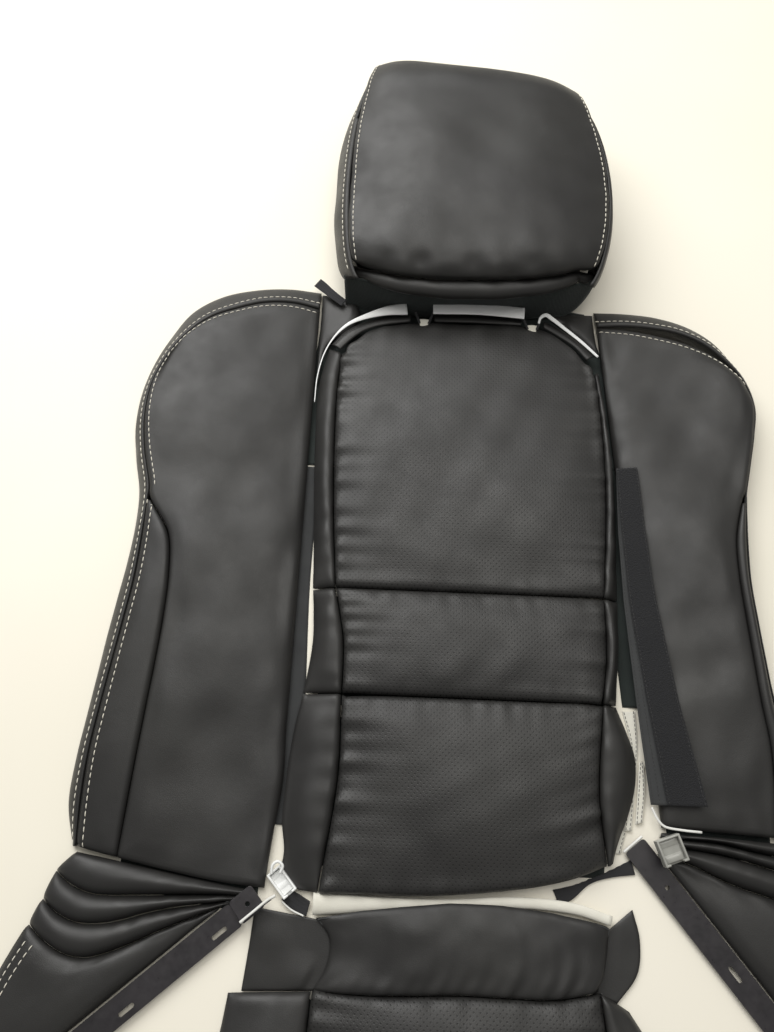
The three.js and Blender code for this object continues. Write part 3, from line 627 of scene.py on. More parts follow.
def sheet_piece(name, points, material, body, thick=1.2 * MM, flip=False, inside=None):
    """An open sheet of points with its own thickness."""
    faces = grid_faces(*points.shape[:2], flip)
    materials = [material, inside] if inside else [material]
    piece = add_object(name, points.reshape(-1, 3), faces, materials, body)
    give_thickness(piece, thick, backed=bool(inside))
    return piece


def add_cloth(name, points, slot, body, thick,
              node=None):
    """A sheet of cloth. Its flat size is the drawn one, and at least LEAST_SIDE each way."""
    piece = sheet_piece(name, points, FINISH_OF_SLOT[slot], body, thick)
    if node:
        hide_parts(node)
    return piece


def bevelled(node, width, material):
    """A hard part's CAD solid with its sharp edges rounded."""
    mesh = bmesh.new()
    source = frame["nodes"][node]
    mesh.from_mesh(source.data)
    mesh.transform(source.matrix_world)
    bmesh.ops.remove_doubles(mesh, verts=mesh.verts, dist=MERGE)
    bmesh.ops.dissolve_limit(mesh, angle_limit=math.radians(2), verts=mesh.verts, edges=mesh.edges)
    sharp = [e for e in mesh.edges if len(e.link_faces) == 2 and e.calc_face_angle() > math.radians(35)]
    bmesh.ops.bevel(mesh, geom=sharp, offset=width, segments=3, profile=0.5, affect="EDGES",
                    clamp_overlap=True)
    bmesh.ops.triangulate(mesh, faces=[f for f in mesh.faces if len(f.verts) > 4])
    data = bpy.data.meshes.new(node + ".skin")
    mesh.to_mesh(data)
    mesh.free()
    data.materials.append(material)
    data.shade_smooth()
    piece = bpy.data.objects.new(node + ".skin", data)
    bpy.context.scene.collection.objects.link(piece)
    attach(piece, BODY_OF_NODE[node])
    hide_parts(node)
    piece.modifiers.new("normals", "WEIGHTED_NORMAL")
    return piece


def swept(path, radii, around=16, squash=1.0):
    """Vertices and faces of a rounded roll along a path, closed at both ends."""
    path = np.asarray(path)
    flow = np.gradient(path, axis=0)
    flow /= np.linalg.norm(flow, axis=1, keepdims=True)
    side = np.cross(flow, (0, 0, 1.0))
    side /= np.linalg.norm(side, axis=1, keepdims=True)
    rise = np.cross(side, flow)
    angles = np.linspace(0, 2 * math.pi, around, endpoint=False)
    verts = []
    for k in range(len(path)):
        for angle in angles:
            verts.append(path[k] + radii[k] * (side[k] * math.cos(angle)
                                               + rise[k] * math.sin(angle) * squash))
    faces = []
    for k in range(len(path) - 1):
        for m in range(around):
            a, b = k * around + m, k * around + (m + 1) % around
            faces.append((a, b, b + around, a + around)[::-1])
    faces.append(tuple(range(around)))
    faces.append(tuple(range((len(path) - 1) * around, len(path) * around))[::-1])
    return verts, faces


def hard_rod(name, path, radius, material, body, around=12, squash=1.0):
    line = lay_line(path, 8 * len(path))
    verts, faces = swept(line, np.full(len(line), radius * MM), around, squash)
    return add_object(name, verts, faces, [material], body)


# ---------------------------------------------------------------- stitches


def stitch_template():
    """One stitch: a rounded grain of thread along X, sunk at both ends."""
    around, stations = 6, (-0.5, -0.40, -0.2, 0.2, 0.40, 0.5)
    verts = []
    for share in stations:
        radius = THREAD / 2 * math.sqrt(max(1 - (abs(share) / 0.5) ** 3, 0.08))
        lift = THREAD * (0.45 - 2.2 * share * share)
        for k in range(around):
            angle = 2 * math.pi * k / around
            verts.append((share * STITCH_LENGTH, radius * math.cos(angle),
                          radius * math.sin(angle) + lift))
    faces = []
    for s in range(len(stations) - 1):
        for k in range(around):
            a, b = s * around + k, s * around + (k + 1) % around
            faces.append((a, b, b + around, a + around))
    faces.append(tuple(range(around))[::-1])
    faces.append(tuple(range((len(stations) - 1) * around, len(stations) * around)))
    return np.array(verts), faces


GRAIN_VERTS, GRAIN_FACES = stitch_template()


def stitch_row(line, up=(0, 0, 1), share=1.0):
    """Vertices and faces of the stitches along a line of points, at a share of the usual size."""
    line = np.asarray(line)
    steps = np.linalg.norm(np.diff(line, axis=0), axis=1)
    run = np.concatenate([[0], steps.cumsum()])
    places = np.arange(STITCH_PITCH * share / 2, run[-1], STITCH_PITCH * share)
    verts, faces = [], []
    for place in places:
        here, ahead = (
            np.array([np.interp(min(max(place + d, 0), run[-1]), run, line[:, k]) for k in range(3)])
            for d in (-0.8 * MM, 0.8 * MM)
        )
        forward = ahead - here
        forward /= np.linalg.norm(forward)
        side = np.cross(np.asarray(up, float), forward)
        side /= np.linalg.norm(side)
        lift = np.cross(forward, side)
        base = len(verts)
        middle = (here + ahead) / 2
        verts += [tuple(middle + forward * x + side * y + lift * z) for x, y, z in GRAIN_VERTS * share]
        faces += [tuple(base + k for k in face) for face in GRAIN_FACES]
    return verts, faces


def add_stitches(name, lines, body, up=(0, 0, 1), material=None, share=1.0):
    verts, faces = [], []
    for line in lines:
        more_verts, more_faces = stitch_row(line, up, share)
        base = len(verts)
        verts += more_verts
        faces += [tuple(base + k for k in face) for face in more_faces]
    return add_object(name, verts, faces, [material or THREADS], body)


# ---------------------------------------------------------------- wings


def wing(side, seed):
    """One wing: bolster face, side strip and back band, topstitched beside the outer welt."""
    outer, inner = ("w", "e") if side == "left" else ("e", "w")
    face = cad_panel(f"bolster_face_{side}", 3 * MM)
    face.hills(2.4 * MM, 0.13, seed)
    face.hills(0.9 * MM, 0.045, seed + 1)
    face.roll(outer, 2.4 * MM, 4.5 * MM)
    face.roll("n", 3 * MM, 6 * MM)
    low_down = 1 - smooth((face.points[..., 1] - lay(0, 330, 0)[1]) / (70 * MM))
    face.roll(inner, 1.3 * MM + 2.7 * MM * low_down, 3.5 * MM + 4.5 * MM * low_down)
    face.roll("s", 2 * MM, 4 * MM)
    face.pucker("s", 1.1 * MM, 22 * MM, 34 * MM, seed + 2)
    face.pucker(inner, 0.7 * MM, 14 * MM, 40 * MM, seed + 3)
    leather_piece(f"bolster_face_{side}", face)

    strip = cad_panel(f"side_strip_{side}", 3 * MM)
    strip.hills(0.9 * MM, 0.07, seed + 4)
    for edge in (outer, inner):
        strip.roll(edge, 2.4 * MM, 4.5 * MM)
    strip.roll("s", 3 * MM, 6 * MM)
    leather_piece(f"side_strip_{side}", strip)

    band = cad_panel(f"back_band_{side}", 2.5 * MM)
    band.roll(inner, 2.4 * MM, 4.5 * MM)
    band.roll(outer, 3 * MM, 8 * MM)
    leather_piece(f"back_band_{side}", band)

    upper = face.line(outer, SEAM_TO_STITCH)
    if side == "left":
        rows = [band.line(inner, SEAM_TO_STITCH), strip.line(outer, SEAM_TO_STITCH),
                upper[int(len(upper) * 0.66):-3], face.line("n", SEAM_TO_STITCH)]
    else:
        back = band.line(inner, SEAM_TO_STITCH)
        top = back[:, 1] > lay(0, 395, 0)[1]
        dashes = (back[:, 1] > lay(0, 228, 0)[1]) & (back[:, 1] < lay(0, 262, 0)[1])
        rows = [back[top], back[dashes], face.line("n", SEAM_TO_STITCH)]
    add_stitches(f"topstitch_{side}", rows, f"wing_{side}")
    return face


left_face = wing("left", 11)
right_face = wing("right", 31)

# ---------------------------------------------------------------- skirts


def skirt(side, seed):
    outer, inner = ("w", "e") if side == "left" else ("e", "w")
    for k in (1, 2, 3):
        pleat = cad_panel(f"pleat_{k}_{side}", 2.5 * MM)
        pleat.roll("s", 4 * MM, 8 * MM)
        pleat.roll("n", 4 * MM, 6 * MM)
        pleat.roll(outer, 3 * MM, 8 * MM)
        pleat.pucker("n", 0.6 * MM, 8 * MM, 22 * MM, seed + k)
        leather_piece(f"pleat_{k}_{side}", pleat)
    panel = cad_panel(f"skirt_{side}", 3 * MM)
    panel.hills(1.6 * MM, 0.09, seed + 5)
    panel.roll("n", 4 * MM, 7 * MM)
    panel.roll(outer, 3 * MM, 9 * MM)
    panel.roll(inner, 3 * MM, 7 * MM)
    panel.pucker("n", 1.0 * MM, 16 * MM, 28 * MM, seed + 6)
    leather_piece(f"skirt_{side}", panel)
    if side == "left":
        rows = [panel.line(outer, distance * MM) for distance in (7, 14)]
        rows = [row[row[:, 1] < lay(0, -104, 0)[1]] for row in rows]
        add_stitches("skirt_stitches", rows, BODY_OF_NODE["skirt_left"])


skirt("left", 51)
skirt("right", 71)

# ---------------------------------------------------------------- insert


def insert_panel(name, seed, floor=FLOOR_CLEAR):
    panel = cad_panel(name, 2.5 * MM)
    panel.hills(1.3 * MM, 0.11, seed)
    panel.hills(0.5 * MM, 0.04, seed + 1)
    for side in "wens":
        panel.roll(side, 4.5 * MM, 8 * MM)
    for k, side in enumerate("we"):
        panel.pucker(side, 2.1 * MM, 17 * MM, 19 * MM, seed + 2 + k)
    for k, side in enumerate("sn"):
        panel.pucker(side, 0.7 * MM, 12 * MM, 24 * MM, seed + 4 + k)
    leather_piece(name, panel, floor=floor)


def gusset(name, seed, floor=FLOOR_CLEAR):
    panel = cad_panel(name, 2.5 * MM)
    inner = "e" if name.endswith("left") else "w"
    outer = "w" if name.endswith("left") else "e"
    if name == "gusset_lower_left":
        reach = np.exp(-((panel.points[..., 1] - lay(0, -50, 0)[1]) / (15 * MM)) ** 2)
        reach = reach * (panel.side[inner] / (panel.side["w"] + panel.side["e"])) ** 2
        panel.points[..., 0] -= 13 * MM * reach
        panel.points[..., 2] += (5.0 * MM - panel.points[..., 2]) * np.clip(reach * 1.3, 0, 1)
    panel.roll(inner, 4.5 * MM, 7 * MM)
    panel.roll("s", 3.5 * MM, 7 * MM)
    panel.roll("n", 3.5 * MM, 7 * MM)
    panel.roll(outer, 1.2 * MM, 5 * MM)
    panel.hills(1.0 * MM, 0.06, seed)
    panel.pucker(inner, 0.9 * MM, 12 * MM, 26 * MM, seed + 1)
    leather_piece(name, panel, floor=floor)


RAISED = 3.8 * MM
insert_panel("insert_upper", 101, RAISED)
insert_panel("insert_middle", 111)
insert_panel("insert_lower", 121)
for k, level in enumerate(("upper", "middle", "lower")):
    gusset(f"gusset_{level}_left", 131 + 2 * k, RAISED)
    gusset(f"gusset_{level}_right", 141 + 2 * k, RAISED)

# ---------------------------------------------------------------- cushion cover

for name, seed in (("cushion_rear_panel", 161), ("cushion_front_panel", 171)):
    insert_panel(name, seed)


def plain_panel(name, seed, height=1.4 * MM, floor=FLOOR_CLEAR):
    panel = cad_panel(name, 3 * MM)
    panel.hills(height, 0.08, seed)
    for side in "wens":
        panel.roll(side, 3.5 * MM, 8 * MM)
    panel.pucker("s", 0.9 * MM, 16 * MM, 24 * MM, seed + 1)
    panel.pucker("n", 0.9 * MM, 16 * MM, 24 * MM, seed + 2)
    leather_piece(name, panel, floor=floor)


for name, seed in (("cushion_bolster_left", 191), ("cushion_bolster_right", 201), ("cushion_apron", 211)):
    plain_panel(name, seed)


def tail_panel():
    """The cushion cover's tail: its edge lies over the rod, and its sides slope to the flaps."""
    panel = cad_panel("cushion_tail", 2.5 * MM)
    rise = np.interp(panel.points[..., 0] / MM, [-118, -106, -82, -51, -12, 28, 67, 106, 116],
                     [0, 2, 6, 9, 12, 12, 10, 6, 3])
    near_rod = smooth(1 - panel.side["n"] / (34 * MM))
    panel.points[..., 1] += rise * MM * near_rod
    panel.hills(1.5 * MM, 0.07, 181)
    panel.hills(0.7 * MM, 0.03, 182)
    panel.roll("n", 1.6 * MM, 4 * MM)
    panel.roll("s", 3 * MM, 7 * MM)
    for side in "we":
        panel.roll(side, 7.5 * MM, 20 * MM)
        panel.pucker(side, 0.9 * MM, 18 * MM, 22 * MM, 183)
    panel.pucker("s", 1.3 * MM, 20 * MM, 22 * MM, 184)

    def hem(border):
        over_rod = (border[:, 1] > lay(0, -84, 0)[1]) & (np.abs(border[:, 0]) < 0.122)
        beside = np.abs(border[:, 0] + 0.003) > 0.099
        return np.where(over_rod, 9.2 * MM, np.where(beside, 2.4 * MM, FLOOR_CLEAR))

    leather_piece("cushion_tail", panel, floor=hem)


tail_panel()
for name, seed in (("shoulder_tab_left", 221), ("shoulder_tab_right", 226)):
    plain_panel(name, seed, height=0.3 * MM, floor=RAISED)

# ---------------------------------------------------------------- headrest cover


WELT_Y = [475, 503, 549, 610, 674, 728, 748]
WELT_LEFT = [-116, -121, -126, -126, -121, -110, -104]
WELT_RIGHT = [111, 120, 131, 129, 119, 100, 94]
BOXING_LEFT = [-124, -133, -140.5, -142, -139, -130, -122]
BOXING_RIGHT = [115, 124, 136, 135, 125, 106, 100]


def across_at(y, column):
    """The frame's X of a headrest outline, for places at the frame's Y."""
    share = (y / MM + LAY_CENTRE_Y - WELT_Y[0]) / (WELT_Y[-1] - WELT_Y[0])
    marks = (np.array(WELT_Y) - WELT_Y[0]) / (WELT_Y[-1] - WELT_Y[0])
    return np.polyval(np.polyfit(marks, column, 4), np.clip(share, 0, 1)) * MM


def meet_wrap(boxing, rim, middle_y):
    """Draws a boxing's far end up to the edge of the back wrap, inside the wrap's thickness."""
    rim = rim[rim[:, 1] > middle_y]
    rim = rim[np.argsort(rim[:, 2])]
    end = boxing.points[-1].copy()
    near_end = np.exp(-(boxing.side["n"] / (36 * MM)) ** 2)
    for axis, gap in ((0, 0), (1, 2.3 * MM)):
        target = np.interp(end[:, 2], rim[:, 2], rim[:, axis]) - gap
        boxing.points[..., axis] += (target - end[:, axis]) * near_end


def headrest():
    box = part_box("headrest_face")
    middle = [(a + b) / 2 for a, b in zip(*box)]
    centre = (middle[0], middle[1], 0.02)
    face = Surface(refined(cad_shell("headrest_face", (0, 0, 1)), 2.5 * MM), centre)
    width = face.side["w"] + face.side["e"]
    across = face.side["w"] / width
    west, east = across_at(face.points[..., 1], WELT_LEFT), across_at(face.points[..., 1], WELT_RIGHT)
    face.points[..., 0] = west + (east - west) * across
    edge = np.abs(2 * across - 1)
    face.points[..., 2] -= 2.5 * MM * edge ** 8
    crown = np.exp(-((face.points[..., 1] - lay(0, 722, 0)[1]) / (34 * MM)) ** 2)
    face.points[..., 1] += 10 * MM * (1 - across) ** 5 * crown
    face.points[..., 1] += 15 * MM * edge ** 3 * np.exp(-face.side["s"] / (30 * MM))
    face.points[..., 1] += 5 * MM * (across - 0.5) * np.exp(-face.side["s"] / (30 * MM))
    face.hills(1.8 * MM, 0.12, 301, keep_edges=False)
    face.hills(0.6 * MM, 0.05, 302)
    for side in "we":
        face.tuck(side, 2.6 * MM, 5 * MM)
        face.pucker(side, 0.4 * MM, 12 * MM, 30 * MM, 304)
    face.tuck("s", 10 * MM, 16 * MM)
    for x, depth in ((-0.052, 3.4), (-0.004, 2.6), (0.052, 2.2), (-0.085, 1.8)):
        dimple = np.exp(-((face.points[..., 0] - x) / (11 * MM)) ** 2)
        face.push(-depth * MM * dimple * np.exp(-((face.side["s"] - 13 * MM) / (10 * MM)) ** 2))
    face.pucker("s", 1.6 * MM, 24 * MM, 46 * MM, 305)
    sheet_piece("headrest_face.skin", face.points, LEATHER, "headrest", 2 * MM,
                face.outward < 0, SCRIM)
    stand_for("headrest_face")

    rows = [face.line("w", SEAM_TO_STITCH)[4:-10], face.line("e", SEAM_TO_STITCH)[4:-10]]
    for side, sign in (("left", -1), ("right", 1)):
        boxing = Surface(upright(refined(cad_shell(f"headrest_side_{side}", (sign, 0, 0)), 2.5 * MM)),
                         centre)
        down = boxing.side["w"] / (boxing.side["w"] + boxing.side["e"])
        place_y = boxing.points[..., 1]
        top_x = across_at(place_y, WELT_LEFT if sign < 0 else WELT_RIGHT) + sign * 0.8 * MM
        belly_x = across_at(place_y, BOXING_LEFT if sign < 0 else BOXING_RIGHT)
        foot_x = belly_x - sign * 9 * MM
        boxing.points[..., 0] = ((1 - down) * (1 - 2 * down) * top_x + 4 * down * (1 - down) * belly_x
                                 + down * (2 * down - 1) * foot_x)
        boxing.points[..., 2] += 1.8 * MM * (1 - smooth(down / 0.4))
        boxing.points[..., 1] -= (8 - 6 * down) * MM * np.exp(-boxing.side["s"] / (20 * MM))
        boxing.points[..., 0] -= sign * 6 * MM * np.exp(-boxing.side["s"] / (9 * MM))
        meet_wrap(boxing, face.points[:, 0 if sign < 0 else -1], middle[1])
        boxing.tuck("w", 2.6 * MM, 5 * MM)
        boxing.hills(0.9 * MM, 0.05, 310 + sign)
        name = f"headrest_side_{side}"
        sheet_piece(f"{name}.skin", boxing.points, LEATHER, "headrest", 2 * MM,
                    boxing.outward < 0, SCRIM)
        stand_for(name)
        if side == "left":
            rows.append(boxing.line("w", SEAM_TO_STITCH)[3:-3])
    add_stitches("headrest_topstitch", rows, "headrest")

    edge = curve_samples(face.points[0], 90)
    share = np.linspace(0, 1, len(edge))
    belly = np.sin(math.pi * share) ** 0.5
    zeros = np.zeros(90)
    path = edge + np.stack([zeros, 0.5 * MM - 3.5 * MM * belly, -8 * MM - 3 * MM * belly], axis=1)
    radii = (5.0 + 5.0 * belly + 0.5 * ripples(share * 0.26, 0.05, 320)) * MM
    ends = [lay(*place) for place in ((-123, 514, 36), (-118, 503, 46), (110, 502, 49), (117, 513, 38))]
    path = np.concatenate([ends[:2], path[4:-4], ends[2:]])
    path = curve_samples(path, 120)
    radii = np.interp(np.linspace(0, 1, 120), np.linspace(0, 1, 94),
                      np.concatenate([[4.5 * MM, 6.5 * MM], radii, [6.5 * MM, 4.5 * MM]]))
    verts, faces = swept(path, radii, 20, 0.85)
    add_object("headrest_lip.skin", verts, faces, [LEATHER], "headrest")
    stand_for("headrest_lip")

    west, east = lay(-127, 0, 0)[0], lay(120, 0, 0)[0]
    flap = []
    for t in np.linspace(0, 1, 26):
        line = []
        for s in np.linspace(0, 1, 70):
            x = west + (east - west - 33 * MM * t ** 1.5) * s
            top = path[int(6 + s * 107)]
            foot_y = lay(0, 480.5 + 5 * (2 * s - 1) ** 2, 0)[1]
            y = top[1] + 4 * MM + (foot_y - top[1] - 4 * MM) * t
            drop = 1 - (1 - min(t / 0.7, 1)) ** 1.6
            z = top[2] - 5 * MM + (11.5 * MM - top[2]) * drop
            wave = 0.9 * MM * math.sin(11 * s + 1.1) * math.sin(math.pi * min(t * 1.1, 1))
            line.append((x, y + wave * 0.4, z + wave))
        flap.append(line)
    add_cloth("headrest_flap.skin", np.array(flap)[::-1], "lining", "headrest", 0.8 * MM,
              node="headrest_flap")


def upright(grid):
    """A side panel's grid with its first column along the top."""
    return grid if grid[:, 0, 2].mean() > grid[:, -1, 2].mean() else grid[:, ::-1]


def stand_for(node):
    """Hides the CAD node that a slack headrest piece is shown for."""
    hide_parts(node)


headrest()

# ---------------------------------------------------------------- linings and tapes


def flat_under(points, bottom, top, margin):
    """Lays a sheet flat, but lower within a margin of its west and east sides."""
    sheet = Surface(points)
    inside = smooth(np.minimum(sheet.side["w"], sheet.side["e"]) / margin)
    sheet.points[..., 2] = bottom + (top - bottom) * inside
    return sheet.points


yoke = ruled([(-163, 314, 2), (0, 314, 2), (170, 322, 2)], [(-149, 500, 2), (-10, 506, 2), (118, 494, 2)],
             3 * MM)
add_cloth("rear_yoke.skin", flat_under(yoke, UNDERSIDE, 2.4 * MM, 26 * MM), "lining", "root",
          0.35 * MM, node="rear_yoke")
left_tape = ruled_up([(-163, -10, 1), (-163, 90, 1), (-163, 200, 1), (-162, 312, 1)],
                     [(-139, -10, 1), (-139, 90, 1), (-142.5, 200, 1), (-141, 312, 1)])
add_cloth("tape_flap_left.skin", flat_under(left_tape, UNDERSIDE, 1.6 * MM, 10 * MM), "backing", "root",
          0.35 * MM, node="tape_flap_left")

for name, body, south, north in (
        ("lining_upper", "root", (-134, 131, 197), (-134, 131, 313)),
        ("lining_middle", "insert_middle", (-128, 126, 89), (-132, 130, 186)),
        ("lining_lower", "insert_lower", (-116, 114, -40), (-132, 122, 79)),
        ("lining_cushion_rear", "cushion", (-150, 150, -292), (-126, 118, -136)),
        ("lining_cushion_front", "cushion", (-150, 150, -424), (-150, 150, -306))):
    sheet = ruled([(south[0], south[2], 0.45), (0, south[2], 0.45), (south[1], south[2], 0.45)],
                  [(north[0], north[2], 0.45), (0, north[2], 0.45), (north[1], north[2], 0.45)], 5 * MM)
    add_cloth(name, sheet, "lining", body, 0.3 * MM)

fold = right_face.line("w", 0.5 * MM)
fold = fold[(fold[:, 1] > lay(0, 97, 0)[1]) & (fold[:, 1] < lay(0, 330, 0)[1])]
share = np.linspace(0, 1, 12)[None, :, None]
margin = fold[:, None] + np.array([1, 0, 0]) * (-20 + 34 * share) * MM
add_cloth("right_margin", flat_under(refined(margin, 2.5 * MM), UNDERSIDE, 1.8 * MM, 11 * MM), "lining",
          "root", 0.35 * MM)


HINGE_RIGHT = ([-2, 492], [161.5, 126.4])      # the right wing's fold, as two Ys and their Xs

for side, line in (("left", left_face.line("s", 0.4 * MM)), ("right", right_face.line("s", 0.4 * MM))):
    line = line[2:] if side == "right" else line[:-2]
    share = np.linspace(-1, 1, 8)[:, None, None]
    under = line[None] + np.array([0, 1, 0]) * 20 * MM * share
    under[..., 2] = UNDERSIDE
    add_cloth(f"foot_margin_{side}", refined(under, 3 * MM), "lining", f"wing_{side}", 0.3 * MM)


def tape(name, west, width, seed):
    """A strip of tape along the right wing's inner margin: its west side from the hinge, in mm."""
    strip = cad_panel(name, 2 * MM)
    share = strip.side["w"] / (strip.side["w"] + strip.side["e"])
    y = strip.points[..., 1] / MM + LAY_CENTRE_Y
    marks = [18, 100, 190, 250, 308]
    offset = np.interp(y, marks, west) + np.interp(y, marks, width) * share
    strip.points[..., 0] = (np.interp(y, *HINGE_RIGHT) + offset) * MM
    first = 13.8 if name == "tape_backing_right" else 16.2
    strip.points[..., 2] = (first + 0.274 * offset) * MM
    strip.points[..., 1] += 8 * MM * smooth((y - 200) / 108)
    strip.points[..., 2] += 0.35 * MM * waves(strip.points, 0.05, seed)
    add_cloth(name + ".skin", strip.points, SLOT_OF_NODE[name], BODY_OF_NODE[name], 1.1 * MM,
              node=name)
    return strip


hard_rod("wing_trim_right",
         [(152.5, 16, 12.6), (157, 7, 12), (163, 1.5, 11.6), (176, -0.5, 12), (192, -1.5, 12.4)],
         1.0, CORE, "wing_right", squash=0.7)
backing = tape("tape_backing_right", [-8, -9, -8.5, -6, -1], [40, 33, 26, 22, 17], 401)
looptape = tape("loop_tape_right", [4, -1, -4.5, -3.5, -1.5], [30, 25, 22, 20, 18.5], 402)
add_stitches("tape_stitches", [backing.line("w", 2 * MM), backing.line("w", 6.5 * MM),
                               looptape.line("w", 1.6 * MM), looptape.line("e", 1.6 * MM)],
             BODY_OF_NODE["loop_tape_right"], material=DARK_THREAD, share=0.55)


def sleeve(name, west, east, node=None, lift=0.5):
    """A cream listing sleeve with a dark seam along each side."""
    grid = ruled_up(west, east, 1.5 * MM)
    sheet = Surface(grid)
    sheet.points[..., 2] += lift * MM * waves(sheet.points, 0.035, len(name))
    add_cloth(name, sheet.points, "listing", "root", 0.4 * MM, node=node)
    add_stitches(name + "_seams", [sheet.line("w", 1.4 * MM), sheet.line("e", 1.4 * MM)], "root",
                 material=DARK_THREAD, share=0.6)


sleeve("hanging_sleeve_long.skin", [(135.5, 94, 1.2), (141, 62, 1.2), (134, 20, 1.2), (119, -21, 1.2)][::-1],
       [(146.5, 94, 1.2), (147, 62, 1.2), (141, 20, 1.2), (128, -21, 1.2)][::-1],
       node="hanging_sleeve_long", lift=0.25)
sleeve("sleeve_inner", [(131.5, -3, 2.6), (134.5, 15, 2.6), (138.5, 34, 2.8)],
       [(137.5, -3, 2.6), (140.5, 15, 2.6), (142.5, 34, 2.8)], lift=0.2)
sleeve("sleeve_outer", [(141, 2, 2.8), (144, 26, 3), (147, 52, 3)],
       [(147, 4, 2.8), (150.5, 28, 3), (151, 52, 3)], lift=0.2)

# ---------------------------------------------------------------- top edge of the insert


def top_band(name, inner, outer):
    """A stretch of the narrow leather boxing that turns down behind the insert's top edge."""
    panel = Surface(ruled(inner, outer, 1.5 * MM))
    across = panel.side["n"] / np.maximum(panel.side["n"] + panel.side["s"], 1e-6)
    panel.points[..., 2] += 2.2 * MM * np.sin(math.pi * across) ** 0.8
    panel.hills(0.35 * MM, 0.02, len(name))
    sheet = sheet_piece(name, panel.points, LEATHER, "root", 1.2 * MM)
    return panel


left_band = top_band("top_band_left",
                     [(-128.5, 434, 14), (-117, 446.5, 15), (-104, 456.6, 15.5), (-86, 463, 15.8),
                      (-60, 467.6, 16)],
                     [(-138, 441, 11), (-125, 456.5, 12), (-108, 467, 12.5), (-88, 473, 13),
                      (-60, 477.5, 13)])
middle_band = top_band("top_band_middle",
                       [(-36, 468.4, 16), (0, 468.8, 16.3), (51, 467.9, 16)],
                       [(-37, 479, 12.5), (6, 480.5, 12.5), (53, 477.5, 12.5)])
top_band("top_band_right",
         [(73, 466.2, 15.6), (88, 456.5, 15.4), (103, 445.6, 15), (115, 431.5, 14.6)],
         [(74, 476, 12.5), (92, 466.5, 12.4), (109, 453, 12.2), (124, 438, 11.8)])
add_stitches("top_band_stitches", [left_band.line("n", 3 * MM), middle_band.line("n", 3 * MM)], "root",
             material=DARK_THREAD, share=0.5)


def listing(name, path, radii, squash, node=None, body="root", material=WHITE_LISTING_BRIGHTENED):
    """A white sleeve with its rod, flattened; by default in white listing cloth that is brightened as
    painted light.
    """
    verts, faces = swept(lay_line(path, 60), curve_samples(np.array(radii, float), 60) * MM, 18, squash)
    piece = add_object(name, verts, faces, [material], body)
    if node:
        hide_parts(node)


listing("neck_listing.skin", [(-38, 479, 24.2), (8, 479.6, 24.6), (53, 476.8, 24.4)], [6.6, 6.6, 6.6], 0.24,
        "neck_listing")
listing("listing_left.skin",
        [(-64, 478.6, 22), (-84, 475.8, 21.6), (-104, 469.4, 20.6), (-122, 460.5, 19.2), (-135, 447, 17),
         (-144.5, 428, 14.6), (-149.6, 403, 12.6), (-150.4, 376, 11.6)],
        [6.8, 5.2, 3.0, 1.7, 0.9, 0.6, 0.5, 0.4], 0.35, "listing_left")
listing("listing_right.skin",
        [(67.5, 467.5, 21.5), (69.5, 474, 21.5), (75, 477.6, 21.5), (82, 472.5, 21.5), (94, 462.3, 21),
         (110, 449, 19.5), (126, 434.5, 17)],
        [1.0, 1.4, 2.2, 2.2, 1.8, 1.6, 1.3], 0.5, "listing_right")
for name, x, y in (("notch_tab_left", -46.5, 464.5), ("notch_tab_right", 61, 462)):
    tab = ruled([(x - 4, y - 3.4, 19.2), (x, y - 4, 19.5), (x + 4, y - 3.2, 19.2)],
                [(x - 4.6, y + 3.4, 21), (x, y + 3.6, 21.2), (x + 4.6, y + 3.2, 21)], 1 * MM)
    add_cloth(name + ".skin", tab, "listing", "root", 0.8 * MM, node=name)
    for end, sign in (("a", -1), ("b", 1)):
        loop = lay_line([(x + sign * 4.4, y - 1, 20.8), (x + sign * 6.6, y + 5, 21),
                         (x + sign * 8.6, y + 12, 19.6)], 24)
        verts, faces = swept(loop, np.full(24, 1.1 * MM), 10, 0.6)
        cord = add_object(f"{name}_loop_{end}", verts, faces, [RIBBON], "root")

strap = Surface(ruled([(-160, 507.5, 14), (-145, 495.5, 14.5), (-131, 484.5, 15)],
                      [(-154, 516, 14), (-140, 503.5, 14.5), (-126, 491.5, 15)], 0.8 * MM))
strap.push(0.5 * MM * np.sin(strap.side["s"] * (2 * math.pi / (2.4 * MM))))
add_cloth("edge_strap.skin", strap.points, "ribbon", "root", 1.1 * MM, node="edge_strap")

# ---------------------------------------------------------------- fastening strips and clips

for node in ("fastening_strip_left", "fastening_strip_right", "strip_tab_left"):
    bevelled(node, 0.45 * MM, STRIP)
bevelled("clip_left", 0.7 * MM, CLIP)
bevelled("clip_right", 0.7 * MM, CLEAR)


def clip_fill(name, node, share, material, ribs):
    """A ribbed plate that fills a clip's tray."""
    low, high = (np.array(corner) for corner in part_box(node))
    turn = math.radians(-48 if node == "clip_left" else -70)
    centre = (low + high) / 2
    length, width = (23, 13) if node == "clip_left" else (21, 20)
    half = np.array([length, width]) / 2 * share * MM
    columns, rows = 40, 14
    grid = np.zeros((rows, columns, 3))
    for j, v in enumerate(np.linspace(-1, 1, rows)):
        for i, u in enumerate(np.linspace(-1, 1, columns)):
            x, y = u * half[0], v * half[1]
            rib = 0.8 * MM * max(math.sin(ribs * math.pi * (u + 1)), 0) ** 0.5
            grid[j, i] = (centre[0] + x * math.cos(turn) - y * math.sin(turn),
                          centre[1] + x * math.sin(turn) + y * math.cos(turn),
                          low[2] + 4.2 * MM + rib * (1 - v ** 6))
    sheet_piece(name, grid, material, BODY_OF_NODE[node], 1.4 * MM)


clip_fill("clip_left_plate", "clip_left", 0.80, CLIP, 2)
clip_fill("clip_right_plate", "clip_right", 0.84, CLEAR, 1.5)


